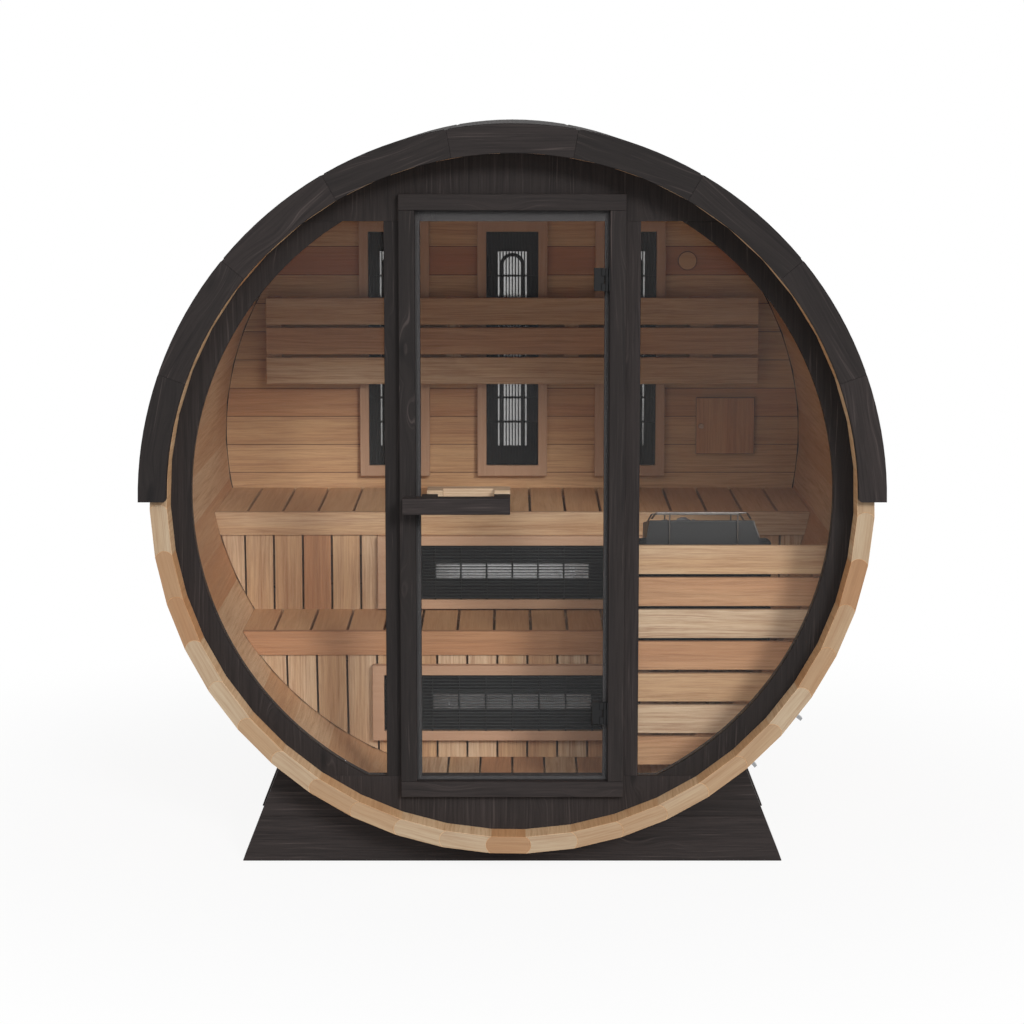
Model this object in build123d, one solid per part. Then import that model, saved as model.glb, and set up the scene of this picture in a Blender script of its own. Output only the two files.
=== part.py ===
from build123d import *
import math
import os

# Barrel sauna: a staved barrel on three cradles, with a glazed front wall, a glass door and two benches.
# Millimetres. x runs to the right, y from the front to the back, z up from the ground.

# Clearances
fit_clearance = 0.3
overrun = 20

# Barrel
barrel_length = 1800
barrel_radius = 1050
ground_gap = 72
stave_thickness = 50
bead_height = 15
croze_depth = 8
bottom_stave_angle = 5.7
top_stave_angle = 6.98
side_stave_count = 22
stave_turn_angle = 0.65
floor_stave_count = 5
wall_stave_count = 12

# End walls
front_wall_setback = 92
back_wall_overhang = 70
wall_thickness = 42
sill_height = 160.4
header_height = 195.4
doorway_half_width = 268
post_width = 103.9
window_rim_width = 57.4
window_glass_thickness = 14

# Door frame
frame_reveal = 13.7
frame_sill_drop = 58
frame_head_rise = 79
frame_member_width = 47
frame_thickness = 30

# Glass door
door_glass_thickness = 8
door_glass_gap = 6.2
door_wall_gap = 6

# Door hinges
hinge_foot_inset = 199.8
hinge_head_inset = 192.8
hinge_height = 66
hinge_knuckle_radius = 5.5
hinge_pin_radius = 3
hinge_pin_clearance = 0.3
hinge_leaf_thickness = 3
hinge_leaf_width = 13
hinge_axis_inset = 9.2
hinge_axis_depth = 10
hinge_arm_thickness = 6
clamp_width = 30
clamp_thickness = 8
clamp_edge_inset = 9.5
inner_pad_width = 26

# Door handles
handle_drop = 37
handle_height = 47
handle_block_width = 47
outer_handle_length = 312
outer_handle_overhang = 42.5
outer_block_span = 258
outer_handle_depth = 52
outer_handle_standoff = 52
inner_handle_length = 244
inner_handle_inset = 25.5
inner_handle_depth = 45
inner_handle_standoff = 45
inner_handle_lift = 9

# Roof cover
roof_panel_count = 9
roof_thickness = 31.2
roof_joint_gap = 2
roof_chamfer = 6
fascia_lip = 3
fascia_overlap = 1
fascia_thickness = 30
fascia_joint_gap = 0.4
fascia_corner_radius = 10

# Steel hoops
hoop_thickness = 1.2
hoop_width = 30
hoop_setback = 120
lug_angles = (41.7, 52)
lug_thickness = 9
lug_height = 36
lug_bolt_radius = 4
lug_bolt_height = 12
lug_bolt_overhang = 20
lug_nut_radius = 9
lug_nut_height = 8

# Cradles
cradle_setback = 183
cradle_thickness = 100
cradle_foot_inset = 237.4
cradle_lean_share = 0.3917
cradle_seam_height = 138.5

# Floor
floor_height = 72.4
floor_slat_thickness = 22
floor_slat_width = 95
floor_slat_gap = 6
floor_slat_count = 6
floor_bearer_count = 4
floor_bearer_thickness = 45

# Benches
lower_bench_height = 409
bench_step_height = 324
upper_bench_depth_share = 0.38674
lower_bench_depth_share = 0.25225
bench_slat_width = 108
bench_slat_gap = 8.4
bench_slat_thickness = 28
bench_fascia_height = 76
bench_fascia_thickness = 28
bench_rail_depth = 45
skirt_setback = 8
skirt_thickness = 18
skirt_slat_width = 89.4
skirt_slat_gap = 6
upper_skirt_centre_width = 39

# Backrest
backrest_end_gap = 28
backrest_foot_share = 0.1805
backrest_board_height = 92
backrest_board_gap = 10.5
backrest_board_count = 3
backrest_board_thickness = 20
backrest_standoff = 68
backrest_batten_width = 51
wide_batten_width = 80
wide_batten_place_share = 0.6527
wide_batten_vent_gap = 55

# Infrared panels
infrared_width = 242
infrared_depth = 33
infrared_side_border = 31
infrared_end_border = 37
infrared_recess = 26
infrared_plate_thickness = 6
rear_infrared_spacing_share = 0.409
rear_infrared_gap = 45
rear_infrared_headroom = 107.6
upper_skirt_infrared_gap = 5.7
lower_skirt_infrared_gap = 61.5

# Back wall fittings
vent_disc_radius = 33
vent_disc_thickness = 12
vent_disc_across_share = 0.607
vent_disc_up_share = 0.6015
vent_cover_across_share = 0.6417
vent_cover_bench_gap = 120
vent_cover_width = 203
vent_cover_height = 197
vent_cover_thickness = 18
vent_knob_radius = 8
vent_knob_length = 12
vent_knob_inset = 17

# Heater guard
guard_post_gap = 28.6
guard_floor_gap = 63.5
guard_board_count = 7
guard_heater_drop = 68
guard_board_gap = 11
guard_board_thickness = 20
guard_end_gap = 6
guard_upright_inset = 4
guard_upright_width = 40
guard_upright_depth = 36
guard_batten_width = 45
bracket_length = 45
bracket_width = 40
bracket_height = 60
bracket_drop = 14
bracket_inset = 30

# Heater
heater_guard_inset = 74
heater_width = 418
heater_depth = 260
heater_height = 437.5
heater_stave_gap = 34
heater_bench_gap = 35
heater_wall = 15
heater_tray_depth = 100
heater_top_fall = 44.5
heater_shoulder_radius = 21
hood_height = 54
hood_inset = 37
hood_left_taper = 9.5
hood_right_taper = 19
stone_heap_rise = 4
stone_heap_chamfer = 12
rail_radius = 2.6
rail_rod_radius = 2.3
rail_rise = 24
rail_lead = 7
rail_end_back = 20
rail_end_inset = 7
rail_corner_inset = 20
rail_bend_radius = 8
rail_left_rod_inset = 61
rail_right_rod_inset = 47.5
rail_rod_length = 140
rail_pad_drop = 100
rail_pad_radius = 3

# Places worked out from the sizes above
axis_height = ground_gap + barrel_radius
front_end = -barrel_length / 2
back_end = barrel_length / 2
front_wall_front = front_end + front_wall_setback
front_wall_back = front_wall_front + wall_thickness
back_wall_back = back_end - back_wall_overhang
back_wall_front = back_wall_back - wall_thickness
side_stave_angle = (180 - bottom_stave_angle / 2 - top_stave_angle) / side_stave_count
room_radius = barrel_radius * math.cos(math.radians(side_stave_angle / 2)) - stave_thickness - fit_clearance
opening_foot = axis_height - room_radius + sill_height
opening_head = axis_height + room_radius - header_height
window_radius = room_radius - window_rim_width
window_inner_edge = doorway_half_width + post_width
frame_foot = opening_foot - frame_sill_drop
frame_head = opening_head + frame_head_rise
frame_inner_half_width = doorway_half_width + frame_reveal
frame_half_width = frame_inner_half_width + frame_member_width
frame_front = front_wall_front - frame_thickness
door_half_width = frame_inner_half_width - door_glass_gap
door_foot = frame_foot + frame_member_width + door_glass_gap
door_head = frame_head - frame_member_width - door_glass_gap
door_back = front_wall_front - door_wall_gap
door_front = door_back - door_glass_thickness
hinge_heights = (door_foot + hinge_foot_inset, door_head - hinge_head_inset)
hinge_axis_x = frame_inner_half_width - hinge_axis_inset
hinge_axis_y = door_front - hinge_axis_depth
handle_foot = axis_height - handle_drop
outer_handle_left = -door_half_width - outer_handle_overhang
inner_handle_left = -door_half_width + inner_handle_inset
floor_top = axis_height - room_radius + floor_height
lower_bench_top = floor_top + lower_bench_height
upper_bench_top = lower_bench_top + bench_step_height
room_length = back_wall_front - front_wall_back
upper_front = back_wall_front - upper_bench_depth_share * room_length
lower_front = upper_front - lower_bench_depth_share * room_length
upper_skirt_front = upper_front + skirt_setback
lower_skirt_front = lower_front + skirt_setback
roof_seat_radius = barrel_radius + hoop_thickness + 2 * fit_clearance
roof_radius = roof_seat_radius + roof_thickness
fascia_outer_radius = roof_radius - fascia_lip
fascia_inner_radius = barrel_radius - stave_thickness - fascia_overlap
cradle_foot_half_width = barrel_radius - cradle_foot_inset
rear_infrared_spacing = rear_infrared_spacing_share * room_radius
rear_infrared_foot = upper_bench_top + rear_infrared_gap

os.makedirs("parts", exist_ok=True)


def write(name, *shapes):
    """Write one node: all solids of the shapes, in one file."""
    solids = [solid for shape in shapes for solid in shape.solids()]
    node = Compound(children=solids) if len(solids) > 1 else solids[0]
    export_step(node, os.path.join("parts", name + ".step"))


def block(low_x, high_x, low_y, high_y, low_z, high_z):
    """A box between two corners."""
    middle = Pos((low_x + high_x) / 2, (low_y + high_y) / 2, (low_z + high_z) / 2)
    return middle * Box(high_x - low_x, high_y - low_y, high_z - low_z)


def upright(outline, front, back):
    """Stand a flat outline up in x and z, and give it depth from front to back."""
    return extrude(Pos(0, back, 0) * (Plane.XZ * outline), amount=back - front, dir=(0, -1, 0))


def rod(radius, start, end):
    """A round bar from one point to another."""
    way = Vector(*end) - Vector(*start)
    return extrude(Plane(origin=start, z_dir=way) * Circle(radius), amount=way.length)


def round_bar(radius, front, back, x, z):
    """A round bar along y."""
    return rod(radius, (x, front, z), (x, back, z))


def half_chord(height, radius=room_radius):
    """Half the width of a circle round the barrel's axis, at a height above the ground."""
    return math.sqrt(radius ** 2 - (height - axis_height) ** 2)


def at_axis(shape, angle=0.0):
    """Turn a shape drawn at the foot of a barrel round the barrel's axis, and lift it to the axis."""
    return Pos(0, 0, axis_height) * Rot(0, -angle, 0) * shape


def mirrored(shape):
    """The same shape on the other side of the middle."""
    return mirror(shape, about=Plane.YZ)


def rim_point(radius, angle):
    """A point on a circle round the axis, with the angle counted from straight down towards +x."""
    return Vector(radius * math.sin(math.radians(angle)), -radius * math.cos(math.radians(angle)))


def inside_barrel(shape, radius=room_radius):
    """Cut a shape to the round inside of the barrel."""
    return shape & at_axis(rod(radius, (0, front_end, 0), (0, back_end, 0)))


# Staves: flat boards with a round bead on one edge that turns in the hollow cove of the next board

def stave_end(half_angle, side, beaded):
    """The outer corner, the middle and the inner corner of one long edge of a stave."""
    angle = side * half_angle
    outward = side * rim_point(1, angle + 90)
    inner_apothem = barrel_radius * math.cos(math.radians(half_angle)) - stave_thickness
    outer = rim_point(barrel_radius, angle)
    inner = rim_point(inner_apothem / math.cos(math.radians(half_angle)), angle)
    if beaded:
        return outer, (outer + inner) / 2 + outward * bead_height, inner
    back_off = outward * fit_clearance
    return outer - back_off, (outer + inner) / 2 - outward * bead_height - back_off, inner - back_off


def stave(angle_width, lower_beaded, upper_beaded):
    """One stave at the foot of the barrel, with the two grooves that hold the end walls."""
    half_angle = angle_width / 2
    lower = stave_end(half_angle, -1, lower_beaded)
    upper = stave_end(half_angle, 1, upper_beaded)
    outline = make_face([
        Line(lower[0], upper[0]),
        ThreePointArc(*upper),
        Line(upper[2], lower[2]),
        ThreePointArc(*reversed(lower)),
    ])
    board = upright(outline, front_end, back_end)
    groove_floor = -barrel_radius * math.cos(math.radians(half_angle)) + stave_thickness - croze_depth
    reach = upper[0].X + bead_height + overrun
    for wall_front in (front_wall_front, back_wall_front):
        groove_front = wall_front - fit_clearance
        groove_back = wall_front + wall_thickness + fit_clearance
        board -= block(-reach, reach, groove_front, groove_back,
                       groove_floor, groove_floor + croze_depth + overrun)
    return board


right_stave = stave(side_stave_angle, False, True)
left_stave = mirrored(right_stave)
stave_places = [bottom_stave_angle / 2 + side_stave_angle * (place + 0.5)
                for place in range(side_stave_count)]
right_staves = [at_axis(right_stave, angle - stave_turn_angle) for angle in stave_places]
left_staves = [at_axis(left_stave, -angle - stave_turn_angle) for angle in stave_places]
bottom_stave = at_axis(stave(bottom_stave_angle, True, True), -stave_turn_angle)
right_top_stave = at_axis(stave(top_stave_angle, False, True), 180 - top_stave_angle / 2 - stave_turn_angle)
left_top_stave = at_axis(stave(top_stave_angle, False, False), 180 + top_stave_angle / 2 - stave_turn_angle)
wall_end = floor_stave_count + wall_stave_count

write("floor_staves", bottom_stave, *right_staves[:floor_stave_count], *left_staves[:floor_stave_count])
write("right_wall_staves", *right_staves[floor_stave_count:wall_end])
write("left_wall_staves", *left_staves[floor_stave_count:wall_end])
write("roof_staves", right_top_stave, left_top_stave, *right_staves[wall_end:], *left_staves[wall_end:])


# End walls: many-sided discs whose edges sit in the grooves of the staves

def wall_disc(front):
    """A whole end wall, with one edge for each stave."""
    half_angle = math.radians(side_stave_angle / 2)
    radius = barrel_radius - (stave_thickness - croze_depth + fit_clearance) / math.cos(half_angle)
    right = [bottom_stave_angle / 2 + side_stave_angle * place for place in range(side_stave_count + 1)]
    angles = right + [180] + [-angle for angle in reversed(right)]
    corners = [rim_point(radius, angle - stave_turn_angle) for angle in angles]
    outline = make_face(Polyline(*corners, close=True))
    return at_axis(upright(outline, front, front + wall_thickness))


def window_space(inset, front, back):
    """The space of the right window: straight at the post, head and foot, round along the barrel."""
    space = block(window_inner_edge + inset, barrel_radius, front, back,
                  opening_foot + inset, opening_head - inset)
    return space & at_axis(rod(window_radius - inset, (0, front, 0), (0, back, 0)))


def window_rim(low_x, high_x):
    """The part of the front wall between a window and the staves."""
    band = block(low_x, high_x, front_wall_front, front_wall_back, opening_foot, opening_head)
    return (disc & band) - at_axis(rod(window_radius, (0, front_end, 0), (0, back_end, 0)))


disc = wall_disc(front_wall_front)
right_post = block(doorway_half_width, window_inner_edge, front_wall_front, front_wall_back,
                   opening_foot, opening_head)
pane_front = (front_wall_front + front_wall_back - window_glass_thickness) / 2
right_pane = window_space(fit_clearance, pane_front, pane_front + window_glass_thickness)

write("front_wall_header", disc & block(-barrel_radius, barrel_radius, front_wall_front, front_wall_back,
                                        opening_head, axis_height + barrel_radius))
write("front_wall_sill", disc & block(-barrel_radius, barrel_radius, front_wall_front, front_wall_back,
                                      axis_height - barrel_radius, opening_foot))
write("front_wall_right_post", right_post)
write("front_wall_left_post", mirrored(right_post))
write("front_wall_right_rim", window_rim(0, barrel_radius))
write("front_wall_left_rim", window_rim(-barrel_radius, 0))
write("right_window", right_pane)
write("left_window", mirrored(right_pane))
write("back_wall", wall_disc(back_wall_front))


# Door frame: a head and a foot rail across the whole width, with a stile between them on each side

right_stile = block(frame_inner_half_width, frame_half_width, frame_front, front_wall_front,
                    frame_foot + frame_member_width, frame_head - frame_member_width)
write("door_frame_head", block(-frame_half_width, frame_half_width, frame_front, front_wall_front,
                               frame_head - frame_member_width, frame_head))
write("door_frame_sill", block(-frame_half_width, frame_half_width, frame_front, front_wall_front,
                               frame_foot, frame_foot + frame_member_width))
write("door_frame_right_stile", right_stile)
write("door_frame_left_stile", mirrored(right_stile))


# Hinges: a leaf with a fixed pin on the frame, and a clamp with two knuckles on the glass

def knuckle(foot, head):
    """A stretch of the hinge barrel."""
    return rod(hinge_knuckle_radius, (hinge_axis_x, hinge_axis_y, foot), (hinge_axis_x, hinge_axis_y, head))


def hinge_pin(radius, foot, head):
    """The pin on the hinge axis."""
    return rod(radius, (hinge_axis_x, hinge_axis_y, foot), (hinge_axis_x, hinge_axis_y, head))


def hinge_arm(end_x, foot, head):
    """A flat arm from the hinge barrel sideways."""
    low_x, high_x = sorted((hinge_axis_x, end_x))
    half = hinge_arm_thickness / 2
    return block(low_x, high_x, hinge_axis_y - half, hinge_axis_y + half, foot, head)


def frame_leaf(middle):
    """The half of a hinge that is fixed to the frame."""
    foot = middle - hinge_height / 2
    head = middle + hinge_height / 2
    inner_foot = foot + hinge_height / 3
    inner_head = head - hinge_height / 3
    leaf = block(frame_inner_half_width - hinge_leaf_thickness, frame_inner_half_width,
                 frame_front, frame_front + hinge_leaf_width, foot, head)
    leaf += hinge_arm(frame_inner_half_width, inner_foot, inner_head)
    leaf += knuckle(inner_foot, inner_head)
    return leaf + hinge_pin(hinge_pin_radius, foot, head)


def glass_clamp(middle):
    """The half of a hinge that holds the glass: a plate in front with two knuckles, and a pad behind."""
    foot = middle - hinge_height / 2
    head = middle + hinge_height / 2
    third = hinge_height / 3 - fit_clearance
    plate_right = door_half_width - clamp_edge_inset
    plate = block(plate_right - clamp_width, plate_right, door_front - clamp_thickness, door_front,
                  foot, head)
    for low, high in ((foot, foot + third), (head - third, head)):
        plate += hinge_arm(plate_right - clamp_thickness, low, high)
        plate += knuckle(low, high)
    plate -= hinge_pin(hinge_pin_radius + hinge_pin_clearance, foot - overrun, head + overrun)
    pad_right = doorway_half_width - door_wall_gap
    pad = block(pad_right - inner_pad_width, pad_right, door_back, front_wall_front, foot, head)
    return [plate, pad]


write("hinge_leaves", *[frame_leaf(middle) for middle in hinge_heights])
write("hinge_clamps", *[piece for middle in hinge_heights for piece in glass_clamp(middle)])


# Door leaf: one sheet of glass with a wooden handle on each side

def handle(left, foot, length, block_span, face, way, standoff, depth):
    """A bar across the glass on two blocks, standing off the face in the direction of way along y."""
    right = left + length
    head = foot + handle_height
    bar_near = face + way * standoff
    low_y, high_y = sorted((bar_near, bar_near + way * depth))
    bar = block(left, right, low_y, high_y, foot, head)
    low_y, high_y = sorted((face, bar_near))
    for start in (right - block_span, right - handle_block_width):
        bar += block(start, start + handle_block_width, low_y, high_y, foot, head)
    return bar


write("door_glass", block(-door_half_width, door_half_width, door_front, door_back, door_foot, door_head))
write("outer_handle", handle(outer_handle_left, handle_foot, outer_handle_length,
                             outer_block_span, door_front, -1, outer_handle_standoff, outer_handle_depth))
write("inner_handle", handle(inner_handle_left, handle_foot + inner_handle_lift, inner_handle_length,
                             inner_handle_length, door_back, 1, inner_handle_standoff, inner_handle_depth))


# Roof cover: curved panels over the upper half of the barrel, with arch planks over the ends of the staves

roof_panel_angle = 180 / roof_panel_count


def arc_band(inner_radius, outer_radius, start, end, chamfer):
    """A stretch of a ring round the axis, with its outer corners chamfered."""
    cut = math.degrees(chamfer / outer_radius)
    middle = (start + end) / 2
    edges = [
        Line(rim_point(inner_radius, start), rim_point(outer_radius - chamfer, start)),
        ThreePointArc(*[rim_point(outer_radius, angle) for angle in (start + cut, middle, end - cut)]),
        Line(rim_point(outer_radius - chamfer, end), rim_point(inner_radius, end)),
        ThreePointArc(*[rim_point(inner_radius, angle) for angle in (end, middle, start)]),
    ]
    if chamfer:
        edges.insert(1, Line(rim_point(outer_radius - chamfer, start), rim_point(outer_radius, start + cut)))
        edges.insert(3, Line(rim_point(outer_radius, end - cut), rim_point(outer_radius - chamfer, end)))
    return make_face(edges)


def roof_span(place, gap, radius):
    """The angles where a roof piece starts and ends, counted from straight down, right side first."""
    half_gap = math.degrees(gap / radius) / 2
    start = 90 + roof_panel_angle * place
    low = start if place == 0 else start + half_gap
    high = start + roof_panel_angle
    return low, high if place == roof_panel_count - 1 else high - half_gap


def roof_panels():
    """The panels that lie on the hoops, from the front to the back of the barrel."""
    panels = []
    for place in range(roof_panel_count):
        start, end = roof_span(place, roof_joint_gap, roof_radius)
        outline = arc_band(roof_seat_radius, roof_radius, start, end, roof_chamfer)
        panels.append(at_axis(upright(outline, front_end, back_end)))
    return panels


def fascia_arch(front):
    """The planks of one arch, with a rounded inner corner at both feet."""
    planks = []
    for place in range(roof_panel_count):
        start, end = roof_span(place, fascia_joint_gap, fascia_inner_radius)
        outline = arc_band(fascia_inner_radius, fascia_outer_radius, start, end, 0)
        foot_angle = {0: start, roof_panel_count - 1: end}.get(place)
        if foot_angle is not None:
            corner = rim_point(fascia_inner_radius, foot_angle)
            outline = fillet(outline.vertices().sort_by_distance(corner)[0], fascia_corner_radius)
        planks.append(at_axis(upright(outline, front, front + fascia_thickness)))
    return planks


write("roof_panels", *roof_panels())
write("front_fascia", *fascia_arch(front_end - fascia_thickness))
write("rear_fascia", *fascia_arch(back_end))


# Steel hoops over the end walls, each drawn tight by a bolt between two lugs

def hoop(middle):
    """A thin steel ring round the staves."""
    inner = barrel_radius + fit_clearance
    front = middle - hoop_width / 2
    back = middle + hoop_width / 2
    ring = rod(inner + hoop_thickness, (0, front, 0), (0, back, 0))
    return at_axis(ring - rod(inner, (0, front - overrun, 0), (0, back + overrun, 0)))


def tightener(middle):
    """Two lugs on a hoop, and the bolt with its nuts that pulls them together."""
    seat = barrel_radius + hoop_thickness + 2 * fit_clearance
    half = lug_thickness / 2
    lugs = [Rot(0, -angle, 0) * block(-half, half, middle - hoop_width / 2, middle + hoop_width / 2,
                                      -seat - lug_height, -seat) for angle in lug_angles]
    low, high = [rim_point(seat + lug_bolt_height, angle) for angle in lug_angles]
    way = (high - low).normalized()
    ends = [low - way * lug_bolt_overhang, high + way * lug_bolt_overhang]
    start, end = [(point.X, middle, point.Y) for point in ends]
    piece = lugs[0] + lugs[1] + rod(lug_bolt_radius, start, end)
    for point, sense in ((low, -1), (high, 1)):
        near = point + way * sense * half
        far = near + way * sense * lug_nut_height
        piece += rod(lug_nut_radius, (near.X, middle, near.Y), (far.X, middle, far.Y))
    return at_axis(piece)


hoop_middles = (front_end + hoop_setback, back_end - hoop_setback)
write("steel_hoops", *[hoop(middle) for middle in hoop_middles])
write("hoop_tighteners", *[tightener(middle) for middle in hoop_middles])


# Cradles: two courses of board, hollowed to the barrel

def cradle_outline():
    """The outline of a cradle: sides that lean in, and a round seat."""
    top = axis_height / 2
    top_half_width = cradle_foot_half_width - cradle_lean_share * top
    sides = make_face(Polyline((-cradle_foot_half_width, 0), (cradle_foot_half_width, 0),
                               (top_half_width, top), (-top_half_width, top), close=True))
    return sides - Pos(0, axis_height) * Circle(barrel_radius + fit_clearance)


cradle_fronts = (front_end + cradle_setback, -cradle_thickness / 2,
                 back_end - cradle_setback - cradle_thickness)
cradles = [upright(cradle_outline(), front, front + cradle_thickness) for front in cradle_fronts]
lower_course = block(-barrel_radius, barrel_radius, front_end, back_end, 0, cradle_seam_height)
write("cradle_foot_boards", *[cradle & lower_course for cradle in cradles])
write("cradle_shoulders", *[cradle - lower_course for cradle in cradles])


# Floor: slats from front to back on bearers that are cut to the barrel

def row_spans(width, gap, count, centre_width=None):
    """The low and high x of boards in a row, the same on both sides of the middle.

    An odd count has a board in the middle, of centre_width where that is given.
    """
    middle = width if centre_width is None else centre_width
    spans = [(-middle / 2, middle / 2)] if count % 2 else []
    edge = middle / 2 + gap if count % 2 else gap / 2
    for _ in range(count // 2):
        spans += [(edge, edge + width), (-edge - width, -edge)]
        edge += width + gap
    return spans


floor_front = front_wall_back + fit_clearance
floor_back = back_wall_front - fit_clearance
floor_underside = floor_top - floor_slat_thickness
floor_slats = [block(low, high, floor_front, floor_back, floor_underside, floor_top)
               for low, high in row_spans(floor_slat_width, floor_slat_gap, floor_slat_count)]
bearer_step = (floor_back - floor_front - floor_bearer_thickness) / (floor_bearer_count - 1)
floor_bearers = [inside_barrel(block(-barrel_radius, barrel_radius, front, front + floor_bearer_thickness,
                                     axis_height - barrel_radius, floor_underside))
                 for front in [floor_front + bearer_step * place for place in range(floor_bearer_count)]]
write("floor_slats", *[inside_barrel(slat) for slat in floor_slats])
write("floor_bearers", *floor_bearers)


# Benches: seat slats from front to back on two rails, a front board, and a skirt of upright slats

def bench_slats(top, front, back):
    """The seat slats of a bench, cut to the barrel at both sides."""
    pitch = bench_slat_width + bench_slat_gap
    side_count = math.ceil((half_chord(top) - bench_slat_width / 2 - bench_slat_gap) / pitch)
    return [inside_barrel(block(low, high, front, back, top - bench_slat_thickness, top))
            for low, high in row_spans(bench_slat_width, bench_slat_gap, 2 * side_count + 1)]


def cross_board(front, back, foot, head):
    """A board across the whole barrel."""
    return inside_barrel(block(-barrel_radius, barrel_radius, front, back, foot, head))


def skirt(front, foot, head, centre_width):
    """Upright slats under a bench, cut to the barrel at both sides."""
    pitch = skirt_slat_width + skirt_slat_gap
    side_count = math.ceil((half_chord(head) - centre_width / 2 - skirt_slat_gap) / pitch)
    return [inside_barrel(block(low, high, front, front + skirt_thickness, foot, head))
            for low, high in row_spans(skirt_slat_width, skirt_slat_gap, 2 * side_count + 1, centre_width)]


def bench_rails(top, front, back):
    """The two rails under the seat slats, behind the front board and at the back of the seat."""
    foot = top - bench_fascia_height
    head = top - bench_slat_thickness
    return [cross_board(front, front + bench_rail_depth, foot, head),
            cross_board(back - bench_rail_depth, back, foot, head)]


upper_seat_front = upper_front + bench_fascia_thickness
lower_seat_front = lower_front + bench_fascia_thickness

write("upper_bench_slats", *bench_slats(upper_bench_top, upper_seat_front, back_wall_front))
write("upper_bench_fascia", cross_board(upper_front, upper_seat_front, upper_bench_top - bench_fascia_height,
                                        upper_bench_top))
write("upper_bench_rails", *bench_rails(upper_bench_top, upper_seat_front, back_wall_front))
write("upper_bench_skirt", *skirt(upper_skirt_front, lower_bench_top - bench_fascia_height,
                                  upper_bench_top - bench_fascia_height, upper_skirt_centre_width))
write("lower_bench_slats", *bench_slats(lower_bench_top, lower_seat_front,
                                        upper_skirt_front - fit_clearance))
write("lower_bench_fascia", cross_board(lower_front, lower_seat_front, lower_bench_top - bench_fascia_height,
                                        lower_bench_top))
write("lower_bench_rails", *bench_rails(lower_bench_top, lower_seat_front, upper_skirt_front))
write("lower_bench_skirt", *skirt(lower_skirt_front, floor_top + fit_clearance,
                                  lower_bench_top - bench_fascia_height, skirt_slat_width))


# Backrest: boards across the barrel on battens that stand off the back wall

backrest_back = back_wall_front - backrest_standoff
backrest_foot = axis_height + backrest_foot_share * room_radius
backrest_pitch = backrest_board_height + backrest_board_gap
backrest_head = backrest_foot + backrest_pitch * backrest_board_count - backrest_board_gap
backrest_half_length = half_chord(backrest_head) - backrest_end_gap
backrest_feet = [backrest_foot + backrest_pitch * place for place in range(backrest_board_count)]
write("backrest_boards", *[block(-backrest_half_length, backrest_half_length,
                                 backrest_back - backrest_board_thickness, backrest_back,
                                 foot, foot + backrest_board_height) for foot in backrest_feet])
vent_cover_foot = upper_bench_top + vent_cover_bench_gap
vent_cover_head = vent_cover_foot + vent_cover_height
batten_lefts = (-backrest_half_length, -(rear_infrared_spacing + backrest_batten_width) / 2,
                (rear_infrared_spacing - backrest_batten_width) / 2)
slim_battens = [block(left, left + backrest_batten_width, backrest_back, back_wall_front,
                      backrest_foot, backrest_head) for left in batten_lefts]
wide_left = wide_batten_place_share * room_radius - wide_batten_width / 2
wide_batten = block(wide_left, wide_left + wide_batten_width, backrest_back, back_wall_front,
                    vent_cover_head + wide_batten_vent_gap, backrest_head)
write("backrest_battens", *slim_battens, wide_batten)


# Infrared panels: a wooden tray with a heating plate behind its border

def infrared_space(middle_x, foot, width, height, front, back, clearance):
    """The space inside a panel's border, which is wider at its ends, less a clearance all round."""
    standing = height > width
    beside = (infrared_side_border if standing else infrared_end_border) + clearance
    above = (infrared_end_border if standing else infrared_side_border) + clearance
    return block(middle_x - width / 2 + beside, middle_x + width / 2 - beside, front, back,
                 foot + above, foot + height - above)


def infrared_tray(middle_x, foot, width, height, back):
    """The tray of one infrared panel, open to the front."""
    front = back - infrared_depth
    tray = block(middle_x - width / 2, middle_x + width / 2, front, back, foot, foot + height)
    return tray - infrared_space(middle_x, foot, width, height, front - overrun, front + infrared_recess, 0)


def infrared_plate(middle_x, foot, width, height, back):
    """The heating plate in the tray."""
    plate_back = back - infrared_depth + infrared_recess
    return infrared_space(middle_x, foot, width, height, plate_back - infrared_plate_thickness, plate_back,
                          fit_clearance)


rear_infrared_reach = rear_infrared_spacing + infrared_width / 2
rear_infrared_rise = math.sqrt(room_radius ** 2 - rear_infrared_reach ** 2)
rear_infrared_head = axis_height + rear_infrared_rise - rear_infrared_headroom
infrared_length = rear_infrared_head - rear_infrared_foot
upper_skirt_infrared_foot = lower_bench_top + upper_skirt_infrared_gap
lower_skirt_infrared_foot = floor_top + lower_skirt_infrared_gap
rear_panels = [(middle, rear_infrared_foot, infrared_width, infrared_length, back_wall_front)
               for middle in (-rear_infrared_spacing, 0, rear_infrared_spacing)]
bench_panels = [(0, upper_skirt_infrared_foot, infrared_length, infrared_width, upper_skirt_front),
                (0, lower_skirt_infrared_foot, infrared_length, infrared_width, lower_skirt_front)]
write("rear_infrared_trays", *[infrared_tray(*panel) for panel in rear_panels])
write("rear_infrared_plates", *[infrared_plate(*panel) for panel in rear_panels])
write("bench_infrared_trays", *[infrared_tray(*panel) for panel in bench_panels])
write("bench_infrared_plates", *[infrared_plate(*panel) for panel in bench_panels])


# Vents on the back wall: a round disc, and a square slide with a knob

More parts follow.
